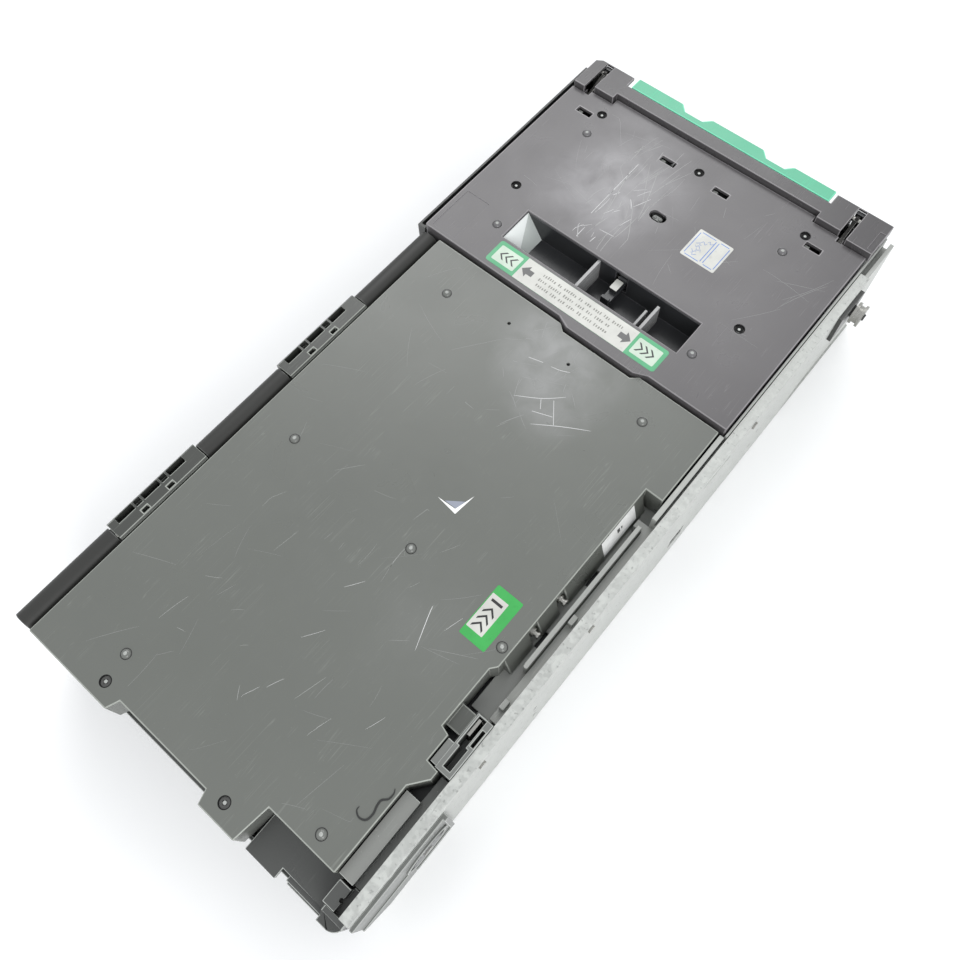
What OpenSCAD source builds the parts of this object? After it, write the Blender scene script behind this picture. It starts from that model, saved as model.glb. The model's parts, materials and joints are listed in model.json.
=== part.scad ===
// Bill validator: the upper transport of a cash recycler, with two top doors.
//
// Deck frame, used inside every module: x from the hinge side of the lower door
// towards the plated side, y from the near edge along the note path, z up from the
// top face of the lower door. at_origin() moves it so that the row's origin is the
// middle of the base's underside.

/* [Doors] */
// Width of the lower door at its widest point
lower_door_w = 287; // [285:1:289]
// Length of the lower door along the note path
lower_door_len = 441; // [438:1:444]
// Length of the upper door along the note path
upper_door_len = 218; // [216:0.5:218.5]
// Gap between the two doors
seam_gap = 3; // [3:0.5:4]
// Height of the upper door's face above the lower door's
upper_step = 4; // [3:0.5:4]
// Height of the far strip's face above the lower door's
strip_step = 10; // [9.5:0.5:10]
// Thickness of the moulded skins
skin = 3; // [2.5:0.5:3]
// Depth of both doors below the lower door's face
door_depth = 30; // [29:0.5:30]

/* [Body] */
// Height of the lower door's face above the base's underside
deck_h = 130; // [128:1:140]
// Thickness of the bent steel sheet
sheet = 1.5; // [1:0.5:1.5]
// Outer face of the plated side
right_face = 303; // [302.5:0.5:304]
// Outer face of the hinge side, left of the deck's origin
left_face = 28; // [27.5:0.5:29]

/* [Lower hinge] */
// Outer radius of the hinge barrels
barrel_r = 9.5; // [9:0.1:9.5]
// Radius of the lower hinge pin
lower_pin_r = 2; // [1.5:0.1:2.5]

/* [Note path] */
// Height of the note path between the guide plates
path_gap = 6; // [5.5:0.5:6]
// Radius of the rubber drive rollers
drive_roller_r = 16.85; // [16.5:0.05:16.85]
// Radius of the idler rollers in the doors
idler_roller_r = 9.85; // [9.5:0.05:9.85]
// Radius of the drive shafts
drive_shaft_r = 4; // [3:0.5:4]
// Radius of the belt pulleys
pulley_r = 14; // [12:0.5:14]

/* [Hardware] */
// Radius of the recessed screw heads
screw_head_r = 3.9; // [3.5:0.1:4]
// Radius of the domed rivets
rivet_r = 4.5; // [4:0.1:4.8]
// Radius of the mounting holes
mount_hole_r = 2.2; // [1.7:0.1:2.6]

/* [Hidden] */
$fn = 48;
fit = 0.05;
slack = 0.02;
far = 1;

// Origin of the row in the deck frame
origin_x = (right_face - left_face) / 2;
origin_y = 344.5;

// Levels, from the top down
upper_top = upper_step;
strip_top = strip_step;
door_foot = -door_depth;
guide_t = 2;
path_top = door_foot - guide_t;
path_floor = path_top - path_gap;
base_foot = -deck_h;
wall_foot = base_foot + sheet;
flange_top = -2.5;
ledge_top = -8;
groove_top = -20;
recess_top = -31;

// Stations along the note path
upper_y = lower_door_len + seam_gap;
upper_end = upper_y + upper_door_len;
strip_y = upper_end + 1.2;
hinge_y = upper_y + 235;
strip_back = upper_y + 244.5;
bar_front = upper_y + 233.4;
bar_back = upper_y + 246.5;
body_end = upper_y + 240;

// Lower door outline
notch_x = [84, 88, 175, 178];
notch_y = 10;
corner_x = 212;
corner_y = 29;
rim_x = 275;
beak_x = 285;
beak_y = [97, 110, 117];
latch_y = [118, 139, 141, 163];
scoop_x = 268;
scoop_y = 190;
recess_x = 272;
recess_y = [195, 367];
recess_lean = 6;
recess_lean_y = [201, 363];
stud_y = [232, 263];
stud_z = -12;
stud_room = 5;
tab_x = [133, 139, 206, 212];
tab_drop = 5;

// Lower hinge
lower_axis = [-11.5, -11];
barrel_spans = [[0, 86], [174.5, 264], [353.5, lower_door_len]];
knuckle_spans = [[87, 173.5], [265, 352.5]];
knuckle_r = 12;
ledge_z = [-28, -24];

// Upper hinge
upper_axis_z = 5;
upper_pin_r = 2.2;
arm_x = [-2.4, 264.4];
arm_t = 3;
slot_w = 7.9;

// Right side, from the door out to the plate
inner_wall = [286, 289];
outer_wall = [298, right_face - sheet];
flange_x = 294.5;
rib_x = [282.7, 286.3];
rib_y = [210, 345];
rim_strip_y = 352;
stop_y = [176, 253];

// Hinge side
bearing_plate = [-5, -3];
left_wall_t = 3;
rail_x = -20;

// Transport
drive_y = [76, 300, 585];
drive_z = -52;
idler_z = -25;
idler_shaft_r = 3;
roller_x = [45, 105, 165, 225];
drive_roller_w = 24;
idler_roller_w = 20;
drive_shaft_x = [-23, 291];
idler_shaft_x = [6, 262];
belt_gap = 0.4;
belt_t = 1.6;
belt_steps = 18;
main_belt_x = [-21.5, -16.5];
motor_belt_x = [-14.5, -9.5];
bush_r = 7;
motor_axis = [150, -92];
motor_r = 16;
motor_x = [-3, 44];
input_gear_r = 15;
input_teeth = 30;

// Hand pocket and release
pocket_x = [41.5, 221.5];
pocket_y = [upper_y + 32, upper_y + 67];
pocket_floor = -26;
pocket_wall = 2.5;
ramp_w = 15.5;
release_axis = [upper_y + 73, -14];
release_r = 3;
lever_x = [139, 147];
hook_x = [[-13.5, -11], [281, 283.5]];
striker_r = 2.5;
striker = [release_axis[0] + 6.5, -42.6];

// Lower latch
latch_axis = [285.2, -29.5];
latch_pin_r = 1.5;
latch_plate = [284.2, 286.2];
latch_span = [147.5, 160.5];

// Far release bar
bar_x = [28.5, 236.5];
bar_axis = [bar_front + 1.5, -24];
bar_pin_r = 2.5;

// Side roller
side_roller_c = [617, -20];
side_roller_r = 10;
stub_r = 3;

// Fastener places
lower_rivets = [
    [66.5, 34], [253, 40], [39, 227.5], [168, 219.5],
    [265, 207], [41.5, 403.5], [236.5, 410.5]
];
upper_rivets = [
    [27.5, upper_y + 168], [233.5, upper_y + 168],
    [30, upper_y + 38.5], [232, upper_y + 38.5]
];
lower_screws = [[70, 12.4], [191, 12.4]];
upper_screws = [
    [24.5, upper_y + 194.5], [131.5, upper_y + 194.5], [239.5, upper_y + 194.5],
    [15.5, upper_y + 82], [248, upper_y + 82]
];
deck_slots = [9.7, 103, 158.7, 251.2];
deck_slot = [15, 6];
mount_y = [200, 500];
mount_z = [-100, -70];
base_mount = [[20, 80], [255, 80], [20, 620], [255, 620]];

// ---------- helpers ----------

module at_origin() translate([-origin_x, -origin_y, deck_h]) children();

// A box between two values along each axis
module box(x, y, z) translate([x[0], y[0], z[0]])
    cube([x[1] - x[0], y[1] - y[0], z[1] - z[0]]);

// A rod along X through the point [y, z]
module rod_x(at, r, x) translate([x[0], at[0], at[1]])
    rotate([0, 90, 0]) cylinder(h = x[1] - x[0], r = r);

// A rod along Y through the point [x, z]
module rod_y(at, r, y) translate([at[0], y[1], at[1]])
    rotate([90, 0, 0]) cylinder(h = y[1] - y[0], r = r);

// A rod along Z through the point [x, y]
module rod_z(at, r, z) translate([at[0], at[1], z[0]]) cylinder(h = z[1] - z[0], r = r);

// A flat piece with the given outline, between two heights
module slab(points, z) translate([0, 0, z[0]]) linear_extrude(z[1] - z[0]) polygon(points);

// An upright plate with its outline in the YZ plane
module side_slab(points, x) translate([x[0], 0, 0])
    rotate([90, 0, 90]) linear_extrude(x[1] - x[0]) polygon(points);

// A plate across the path with its outline in the XZ plane
module end_slab(points, y) translate([0, y[1], 0])
    rotate([90, 0, 0]) linear_extrude(y[1] - y[0]) polygon(points);

// The loop of a belt line at radius r around two equal pulleys at the points a and b
function loop(a, b, r) = let (turn = atan2(b[1] - a[1], b[0] - a[0])) concat(
    [for (i = [0 : belt_steps]) let (t = turn + 90 + 180 * i / belt_steps) a + r * [cos(t), sin(t)]],
    [for (i = [0 : belt_steps]) let (t = turn - 90 + 180 * i / belt_steps) b + r * [cos(t), sin(t)]]
);

// A belt around two equal pulleys at the points a and b
module belt(a, b, x) difference() {
    side_slab(loop(a, b, pulley_r + belt_gap + belt_t), x);
    side_slab(loop(a, b, pulley_r + belt_gap), [x[0] - far, x[1] + far]);
}

// A spur gear or toothed pulley along X
module toothed(at, r, teeth, depth, x) translate([x[0], at[0], at[1]])
    rotate([90, 0, 90]) linear_extrude(x[1] - x[0]) polygon([
        for (i = [0 : 4 * teeth - 1])
            let (a = 360 * (i + 0.5) / (4 * teeth), rr = (i % 4 < 2) ? r : r - depth)
                [rr * cos(a), rr * sin(a)]
    ]);

// A recessed cross-head screw standing in a counterbore
module screw(at, top, length) difference() {
    union() {
        rod_z(at, screw_head_r, [top - 1.8, top]);
        rod_z(at, 1.6, [top - length, top]);
    }
    for (turn = [0, 90]) translate([at[0], at[1], top])
        rotate(turn) cube([3.6, 0.8, 1.6], center = true);
}

// A screw's counterbore and hole
module screw_hole(at, top, foot) {
    rod_z(at, screw_head_r + 0.5, [top - 2.6, top + far]);
    rod_z(at, 1.65, [foot, top + far]);
}

// A domed push rivet
module rivet(at, top) {
    rod_z(at, 2, [top - 6, top]);
    intersection() {
        translate([at[0], at[1], top - 6.8]) sphere(r = 8.2);
        rod_z(at, rivet_r, [top, top + 2]);
    }
}

// ---------- chassis ----------

module bottom_cover() color("silver") difference() {
    box([-left_face, right_face], [3, body_end], [base_foot, wall_foot]);
    for (p = base_mount) rod_z(p, mount_hole_r, [base_foot - far, wall_foot + far]);
}

module left_side_frame() color("#4a4b4a") difference() {
    union() {
        box([-left_face, -left_face + left_wall_t], [3, body_end], [wall_foot, ledge_z[0]]);
        box([-left_face, -4], [3, lower_door_len], ledge_z);
        box([-left_face, rail_x], [upper_y, body_end], [ledge_z[0], -4]);
    }
    for (y = mount_y, z = mount_z)
        rod_x([y, z], mount_hole_r, [-left_face - far, -left_face + left_wall_t + far]);
    box([-left_face + 2.2, rail_x - 2.2], [upper_y + 3, body_end - 3], [-16, -4 + far]);
}

module left_bearing_plate() color("silver") difference() {
    box(bearing_plate, [12, body_end - 2], [base_foot + 6, path_floor - guide_t - 0.2]);
    for (y = drive_y)
        rod_x([y, drive_z], bush_r + slack, [bearing_plate[0] - far, bearing_plate[1] + far]);
    rod_x(motor_axis, 6, [bearing_plate[0] - far, bearing_plate[1] + far]);
}

module right_side_frame() color("#6b6d6a") difference() {
    union() {
        box(inner_wall, [12, body_end], [wall_foot, recess_top - 3]);
        box(outer_wall, [12, body_end], [-60, flange_top - sheet]);
        box(outer_wall, [560, body_end], [wall_foot, -59]);
        // Ledge and groove beside the near half of the door
        box([276, 288], [30.5, 95.5], [recess_top - 3, ledge_top]);
        box([287, outer_wall[1]], [30.5, 117], [groove_top - 4, groove_top]);
        // Floor, rib and groove of the long recess
        box([270, inner_wall[1]], [166.5, recess_y[1] + 3], [recess_top - 4, recess_top]);
        box(rib_x, [rib_y[0], rib_y[1]], [recess_top, -12]);
        rod_z([(rib_x[0] + rib_x[1]) / 2, rib_y[0]], (rib_x[1] - rib_x[0]) / 2, [recess_top, -12]);
        box([287, outer_wall[1]], [166.5, rim_strip_y], [groove_top - 4, groove_top]);
        box([279.2, outer_wall[1]], [rib_y[1], rim_strip_y], [recess_top - 4, groove_top]);
        // Stops standing in the groove
        for (y = stop_y) box([287.5, 291.5], [y, y + 8], [groove_top - far, groove_top + 7]);
        // Rim beside the far half of the doors
        box([288.5, outer_wall[1]], [rim_strip_y, lower_door_len], [recess_top - 4, -12]);
        box([288.5, 292.5], [rim_strip_y, lower_door_len], [-12, -2.2]);
        box([292, outer_wall[1]], [lower_door_len, body_end], [recess_top - 4, -12]);
        box([292, 294], [upper_y - 2, body_end], [-12, -1]);
    }
    for (y = drive_y)
        rod_x([y, drive_z], bush_r + slack, [inner_wall[0] - far, inner_wall[1] + far]);
    rod_x([drive_y[0], drive_z], 10, [outer_wall[0] - far, outer_wall[1] + far]);
    // Square openings in the recess floor
    box([278, 284], [288, 303], [recess_top - 5, recess_top + far]);
    box([277.5, 282], [228, 242], [recess_top - 5, recess_top + far]);
}

module right_side_plate() color("gainsboro") difference() {
    union() {
        box([right_face - sheet, right_face], [12, 640], [wall_foot, flange_top]);
        box([flange_x, right_face], [12, 640], [flange_top - sheet, flange_top]);
    }
    rod_x([drive_y[0], drive_z], 10, [right_face - sheet - far, right_face + far]);
    for (y = mount_y, z = mount_z)
        rod_x([y, z], mount_hole_r, [right_face - sheet - far, right_face + far]);
    box([right_face - 4, right_face + far], [378, 398], [-106, -86]);
    box([right_face - 4, right_face + far], [405, 440], [-24, -18]);
    // Chamfered far corner
    side_slab([[560, wall_foot - far], [641, wall_foot - far], [641, -40]],
        [right_face - 4, right_face + far]);
}

module corner_cover() color("#555754") difference() {
    union() {
        box([right_face, right_face + 3], [10, 101], [-118, -14]);
        rod_x([drive_y[0], drive_z], 20.5, [right_face, right_face + 5]);
        box([right_face + 3, right_face + 4.5], [10, 55], [-66, -62]);
        box([right_face + 3, right_face + 4.5], [60, 101], [-100, -96]);
        box([right_face + 3, right_face + 4.5], [97, 101], [-96, -14]);
    }
    rod_x([drive_y[0], drive_z], 17.5, [right_face - far, right_face + 6]);
    // Rounded near lower corner
    side_slab([[9, -119], [30, -119], [9, -88]], [right_face - far, right_face + 6]);
}

module near_end_frame() color("#565856") difference() {
    union() {
        box([-left_face + left_wall_t, 282], [2.5, 5.5], [wall_foot, path_floor - 1]);
        box([-left_face + left_wall_t, 12], [2.5, 5.5], [path_floor - 1, path_top - 1]);
        box([262, 282], [2.5, 5.5], [path_floor - 1, -28]);
        // Shelf under the cut corner of the door
        box([216, 244], [-1.3, 28.5], [-28, -25]);
        box([244, 283], [6.7, 28.5], [-28, -25]);
        box([250, 283], [-0.2, 7], [-42, -39]);
        box([250, 283], [2.5, 7], [-42, -28]);
        // Rounded corner post and its rim
        box([279, 289], [12, 28.5], [-28, ledge_top]);
        box([282, outer_wall[1] - 1.5], [8, 11.8], [wall_foot, ledge_top]);
        box([289, outer_wall[0]], [11.8, 30], [groove_top - 4, groove_top]);
        box([282, 290], [-0.2, 8], [-60, groove_top]);
        box([280, 282.5], [2.5, 11.8], [wall_foot, -28]);
        difference() {
            rod_z([290, 9.8], 10, [-60, groove_top]);
            box([279, 301], [9.8, 21], [-61, groove_top + far]);
        }
    }
    rod_z([288.5, 20], 1.6, [-20, ledge_top + far]);
}

module far_end_frame() color("#4a4b4a") difference() {
    union() {
        box([-left_face + left_wall_t, inner_wall[0]], [body_end, body_end + 3], [wall_foot, path_floor - 1]);
        box([-left_face + left_wall_t, 20], [body_end, body_end + 3], [path_floor - 1, -12]);
        box([245.5, inner_wall[0]], [body_end, body_end + 3], [path_floor - 1, -12]);
        // Ears that hold the upper hinge pins
        for (c = arm_x, side = [-1, 1]) {
            ear = c + side * 7.2;
            box([ear - 2.4, ear + 2.4], [hinge_y - 4.5, body_end + 3], [-14, strip_top - 2.5]);
        }
        // Ears that hold the release bar
        box([20, 27.5], [bar_axis[0] - 6, body_end + 3], [-31, -18]);
        box([237.5, 245.5], [bar_axis[0] - 6, body_end + 3], [-31, -18]);
        box([14, 20], [body_end - 6, body_end + 3], [-31, -12]);
    }
    for (c = arm_x) rod_x([hinge_y, upper_axis_z], upper_pin_r + slack, [c - 11, c + 11]);
    rod_x(bar_axis, bar_pin_r + fit, [19, 28]);
    rod_x(bar_axis, bar_pin_r + fit, [237, 246]);
    // Note exit
    box([30, 236], [body_end - far, body_end + 4], [path_floor - 2, path_top + 0.5]);
}

// Front edge of the strip, stepping back in the middle
function strip_edge() = [
    [-18, strip_y - 11.5], [-4, strip_y - 11.5], [-4, strip_y - 6.5], [22.7, strip_y - 6.5],
    [22.7, strip_y], [237, strip_y], [237, strip_y - 6.5], [266, strip_y - 6.5],
    [266, strip_y - 11.5], [293, strip_y - 11.5]
];

module far_strip() color("#7c7c7a") difference() {
    union() {
        slab(concat(strip_edge(), [
            [293, strip_back], [239, strip_back], [239, bar_front - 0.6],
            [24, bar_front - 0.6], [24, strip_back], [-12, strip_back], [-18, strip_back - 4]
        ]), [strip_top - 2.5, strip_top]);
        // Front walls below the stepped edge
        box([22.7, 237], [strip_y, strip_y + 2.5], [-8, strip_top - 2]);
        box([1, 22.7], [strip_y - 6.5, strip_y - 4], [-8, strip_top - 2]);
        box([237, 261], [strip_y - 6.5, strip_y - 4], [-8, strip_top - 2]);
        box([20.2, 22.7], [strip_y - 6.5, strip_y + 2], [-8, strip_top - 2]);
        box([237, 239.5], [strip_y - 6.5, strip_y + 2], [-8, strip_top - 2]);
        box([268, 291], [strip_y - 11.5, strip_y - 9], [0, strip_top - 2]);
        box([-16, -6], [strip_y - 11.5, strip_y - 9], [0, strip_top - 2]);
        box([290.5, 293], [strip_y - 11.5, strip_back], [0, strip_top - 2]);
        box([-18, -15.5], [strip_y - 11.5, strip_back - 4], [0, strip_top - 2]);
    }
    for (c = arm_x)
        box([c - slot_w / 2, c + slot_w / 2], [strip_y - 12, strip_back - 1.2], [-9, strip_top + far]);
    // Shallow inset at the plated end
    box([287, 292], [strip_y - 8, strip_back - 12], [strip_top - 0.8, strip_top + far]);
}

module hinge_barrels() color("#4f514e") for (s = barrel_spans) difference() {
    union() {
        rod_y(lower_axis, barrel_r, s);
        box([-19, -5], [s[0] + 2, s[1] - 2], [ledge_z[1], lower_axis[1]]);
    }
    rod_y(lower_axis, lower_pin_r + slack, [s[0] - far, s[1] + far]);
}

module lower_hinge_pin() color("silver") rod_y(lower_axis, lower_pin_r, [0.5, lower_door_len - 0.5]);

module latch_housing() color("#4c4d4c") difference() {
    union() {
        box([281, 294.3], [latch_y[0], latch_y[3]], [-27, -1]);
        box([277, 297], [latch_y[0], latch_y[3] + 3], [-33.9, -25.9]);
        box([276.2, 282], [latch_y[0] + 1, latch_y[1] - 1], [-27, -1.5]);
    }
    box([285, 291], [122, 140], [-24, far]);
    box([283, 289], [139, 162], [-24, far]);
    box([280.8, 289.6], [146.5, 165], [-38, -23]);
    box([290.6, 293.1], [143, 156], [-20, far]);
    rod_y(latch_axis, latch_pin_r + slack, [141, 167]);
}

module latch_pivot_pin() color("silver") rod_y(latch_axis, latch_pin_r, [141.5, 165.5]);

module latch_spring() color("silver") difference() {
    rod_y(latch_axis, 3.2, [161.2, 164.6]);
    rod_y(latch_axis, latch_pin_r + 0.2, [161, 165]);
}

module upper_hinge_pins() color("silver")
    for (c = arm_x) rod_x([hinge_y, upper_axis_z], upper_pin_r, [c - 9.4, c + 9.4]);

// The room that a latch hook sweeps through the guide plates
module hook_passage(x) box([x[0] - 1.2, x[1] + 1.2], [release_axis[0] - 22, release_axis[0] + 12],
    [path_floor - guide_t - far, door_foot + far]);

// A guide plate in the base, open around the drive rollers
module path_plate(y, rollers) difference() {
    box([bearing_plate[1], inner_wall[0]], y, [path_floor - guide_t, path_floor]);
    for (c = rollers, x = roller_x)
        box([x - 14, x + 14], [c - 14.5, c + 14.5], [path_floor - guide_t - far, path_floor + far]);
}

module lower_path_plate() color("dimgray") difference() {
    path_plate([12, lower_door_len], [drive_y[0], drive_y[1]]);
    box([28, 242], [398, 422], [path_floor - guide_t - far, path_floor + far]);
}

module upper_path_plate() color("dimgray") difference() {
    path_plate([upper_y - 2, body_end - 12], [drive_y[2]]);
    hook_passage(hook_x[1]);
}

// A flanged bush around a drive shaft
module bush(y, x, flange) difference() {
    union() {
        rod_x([y, drive_z], bush_r, x);
        rod_x([y, drive_z], bush_r + 2.2, flange);
    }
    rod_x([y, drive_z], drive_shaft_r + fit, [x[0] - far, x[1] + far]);
}

module shaft_bushes() color("goldenrod") for (y = drive_y) {
    bush(y, [bearing_plate[0] - 1, bearing_plate[1] + 1.7],
        [bearing_plate[1] + 0.01, bearing_plate[1] + 1.7]);
    bush(y, [inner_wall[0] - 2, inner_wall[1] + 1], [inner_wall[0] - 2, inner_wall[0] - 0.01]);
}

module timing_belt() color("#222222")
    belt([drive_y[0], drive_z], [drive_y[2], drive_z], main_belt_x);

module motor_belt() color("#222222")
    belt([drive_y[0], drive_z], motor_axis, motor_belt_x);

module drive_motor() color("#3c3c3e") {
    rod_x(motor_axis, motor_r, motor_x);
    rod_x(motor_axis, 9, [motor_x[1], motor_x[1] + 3]);
    box([motor_x[1] - 12, motor_x[1] - 2], [motor_axis[0] - 6, motor_axis[0] + 6],
        [motor_axis[1] - motor_r - 4, motor_axis[1]]);
}

module motor_pulley() color("silver") {
    toothed(motor_axis, pulley_r, 40, 0.9, [motor_belt_x[0] - 0.5, motor_belt_x[1] + 0.5]);
    rod_x(motor_axis, 2.5, [motor_belt_x[1], motor_x[0] - 0.3]);
}

module control_board() color("#1f6a3a") difference() {
    box([22, 262], [260, 560], [-112, -110.4]);
    for (x = [28, 256], y = [266, 554]) rod_z([x, y], 1.7, [-113, -109]);
}

module board_parts() color("#2b2b2b") {
    for (x = [28, 256], y = [266, 554]) rod_z([x, y], 3, [wall_foot, -112]);
    for (i = [0 : 3]) box([40 + 54 * i, 66 + 54 * i], [300, 326], [-110.4, -107.6]);
    for (i = [0 : 2]) box([50 + 70 * i, 86 + 70 * i], [530, 540], [-110.4, -100]);
    box([100, 140], [400, 440], [-110.4, -106]);
}

module cross_bars() color("silver") for (y = [200, 352, 625]) difference() {
    box([bearing_plate[1], inner_wall[0]], [y, y + 14], [-128.4, -114]);
    box([bearing_plate[1] - far, inner_wall[0] + far], [y + 2, y + 15], [-126, -113]);
}

module image_sensor() color("#303236") {
    box([25, 245], [394, 426], [-62, path_floor - guide_t - 0.1]);
    box([30, 240], [400, 420], [path_floor - guide_t - 0.1, path_floor]);
}

module upper_strikers() color("silver") {
    rod_x(striker, striker_r, [bearing_plate[0] - 5.5, bearing_plate[0]]);
    rod_x(striker, striker_r, [hook_x[1][1] + 0.5, inner_wall[0]]);
}

module side_roller_bracket() color("#3c3d3c") {
    box([right_face, right_face + 3.5], [593, 629], [-40, -6]);
    rod_x(side_roller_c, stub_r, [right_face + 3.5, 318]);
    rod_x(side_roller_c, 5.5, [right_face + 3.5, right_face + 4.6]);
}

module chassis_screws() color("silver")
    for (y = [140, 260, 470]) rod_x([y, -12], 3.2, [right_face + 0.01, right_face + 1.6]);

// ---------- lower door ----------

function lower_outline() = [
    [0, 0], [notch_x[0], 0], [notch_x[1], notch_y], [notch_x[2], notch_y],
    [notch_x[3], 0], [corner_x, 0], [corner_x + 3.5, corner_y], [rim_x, corner_y],
    [rim_x, beak_y[0]], [beak_x, beak_y[1]], [beak_x, beak_y[2]],
    [rim_x, latch_y[0]], [rim_x, latch_y[1]], [scoop_x, latch_y[2]],
    [scoop_x, scoop_y], [recess_x, recess_y[0]], [recess_x, recess_y[1]],
    [lower_door_w, recess_y[1]], [lower_door_w, lower_door_len],
    [tab_x[3], lower_door_len], [tab_x[2], lower_door_len - tab_drop],
    [tab_x[1], lower_door_len - tab_drop], [tab_x[0], lower_door_len], [0, lower_door_len]
];

// One windowed run of hinge knuckles
module knuckles(s) difference() {
    union() {
        intersection() {
            box([-21, -2.5], s, [-21, -1.5]);
            rod_y(lower_axis, knuckle_r, s);
        }
        box([-3, 0.5], [s[0] + 5, s[1] - 5], [-20, -6]);
    }
    rod_y(lower_axis, lower_pin_r + fit, [s[0] - far, s[1] + far]);
    for (i = [0 : 2]) box([-19, -13.6], [s[0] + 7 + 25.3 * i, s[0] + 23 + 25.3 * i], [-22, 0]);
    for (i = [0 : 1]) box([-19, -13.6], [s[0] + 24.6 + 25.3 * i, s[0] + 30.6 + 25.3 * i], [-8, 0]);
    for (i = [0 : 1]) box([-8.8, -5.5], [s[0] + 24.6 + 25.3 * i, s[0] + 30.6 + 25.3 * i], [-8, 0]);
}

// The leaning wall of the long recess, with a pocket around each stud
module recess_slope() difference() {
    end_slab([[recess_x - 1, -1.5], [recess_x, -1.5], [recess_x + recess_lean, door_foot + 4],
        [recess_x + recess_lean, door_foot], [recess_x - 1, door_foot]], recess_lean_y);
    for (y = stud_y) box([recess_x, recess_x + far + recess_lean], [y - stud_room, y + stud_room],
        [door_foot - far, 0]);
}

module lower_door() color("#868884") difference() {
    union() {
        difference() {
            slab(lower_outline(), [door_foot, 0]);
            // Hollow under the top skin
            box([skin, scoop_x - skin], [corner_y + skin, lower_door_len - tab_drop - skin],
                [door_foot - far, -skin]);
            box([skin, corner_x - skin], [notch_y + skin, corner_y + skin + 1], [door_foot - far, -skin]);
            box([skin, notch_x[0] - skin], [skin, notch_y + skin + 1], [door_foot - far, -skin]);
            box([notch_x[3] + skin, corner_x - skin], [skin, notch_y + skin + 1], [door_foot - far, -skin]);
            box([200, recess_x - skin], [recess_y[0] + skin, recess_y[1] - skin], [door_foot - far, -skin]);
            box([200, lower_door_w - skin], [recess_y[1] + skin, lower_door_len - skin],
                [door_foot - far, -skin]);
            box([200, rim_x - skin], [corner_y + skin, latch_y[0] - skin - 1], [door_foot - far, -skin]);
        }
        // Screw bosses
        for (p = lower_screws) rod_z(p, 5.5, [door_foot, -skin]);
        // Cross ribs
        for (y = [130, 190, 250, 360]) box([skin, scoop_x - skin], [y, y + 2], [-12, -skin]);
        // Carriers of the idler shafts
        for (c = [drive_y[0], drive_y[1]], x = [[3, 9], [259, 265]])
            box(x, [c - 7, c + 7], [door_foot, -skin]);
        // Tongue that the latch holds down
        box([scoop_x - 1, 279.8], [144, 162], [-14, -11]);
        for (s = knuckle_spans) knuckles(s);
        recess_slope();
    }
    for (c = [drive_y[0], drive_y[1]])
        rod_x([c, idler_z], idler_shaft_r + fit, [idler_shaft_x[0] - 0.4, idler_shaft_x[1] + 0.4]);
    for (p = lower_screws) screw_hole(p, 0, -14);
    for (p = lower_rivets) rod_z(p, 2 + slack, [-8, far]);
    for (p = [[100, 414], [161, 414.5]]) rod_z(p, 1.5, [-skin - far, far]);
}

// The flat guide under a door, open around its idler rollers
module door_guide(x, y, rollers) difference() {
    box(x, y, [path_top, door_foot - 0.02]);
    for (c = rollers, r = roller_x)
        box([r - 12, r + 12], [c - 11, c + 11], [path_top - far, door_foot + far]);
}

module lower_door_guide() color("dimgray") difference() {
    door_guide([2, 265], [13, lower_door_len - 9], [drive_y[0], drive_y[1]]);
    box([corner_x - 2, 266], [12, corner_y + 1], [path_top - far, door_foot + far]);
}

module lower_door_rivets() color("#70726f") for (p = lower_rivets) rivet(p, 0.01);

module lower_door_screws() color("#3a3a3a") for (p = lower_screws) screw(p, -0.8, 10);

module recess_studs() color("silver") for (y = stud_y) {
    rod_x([y, stud_z], 3.6, [recess_x + 0.01, recess_x + 2.2]);
    rod_x([y, stud_z], 2, [recess_x + 2.2, recess_x + 5]);
    rod_x([y, stud_z], 3, [recess_x + 5, recess_x + 6.4]);
}

// ---------- upper door ----------

function upper_outline() = [
    [-18.3, upper_y], [128, upper_y], [139, upper_y - tab_drop], [206, upper_y - tab_drop],
    [217, upper_y], [290.7, upper_y], [290.7, upper_end - 11.5], [267.2, upper_end - 11.5],
    [267.2, upper_end - 6.5], [235.8, upper_end - 6.5], [235.8, upper_end],
    [24, upper_end], [24, upper_end - 6.5], [-5.2, upper_end - 6.5],
    [-5.2, upper_end - 11.5], [-18.3, upper_end - 11.5]
];

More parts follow.
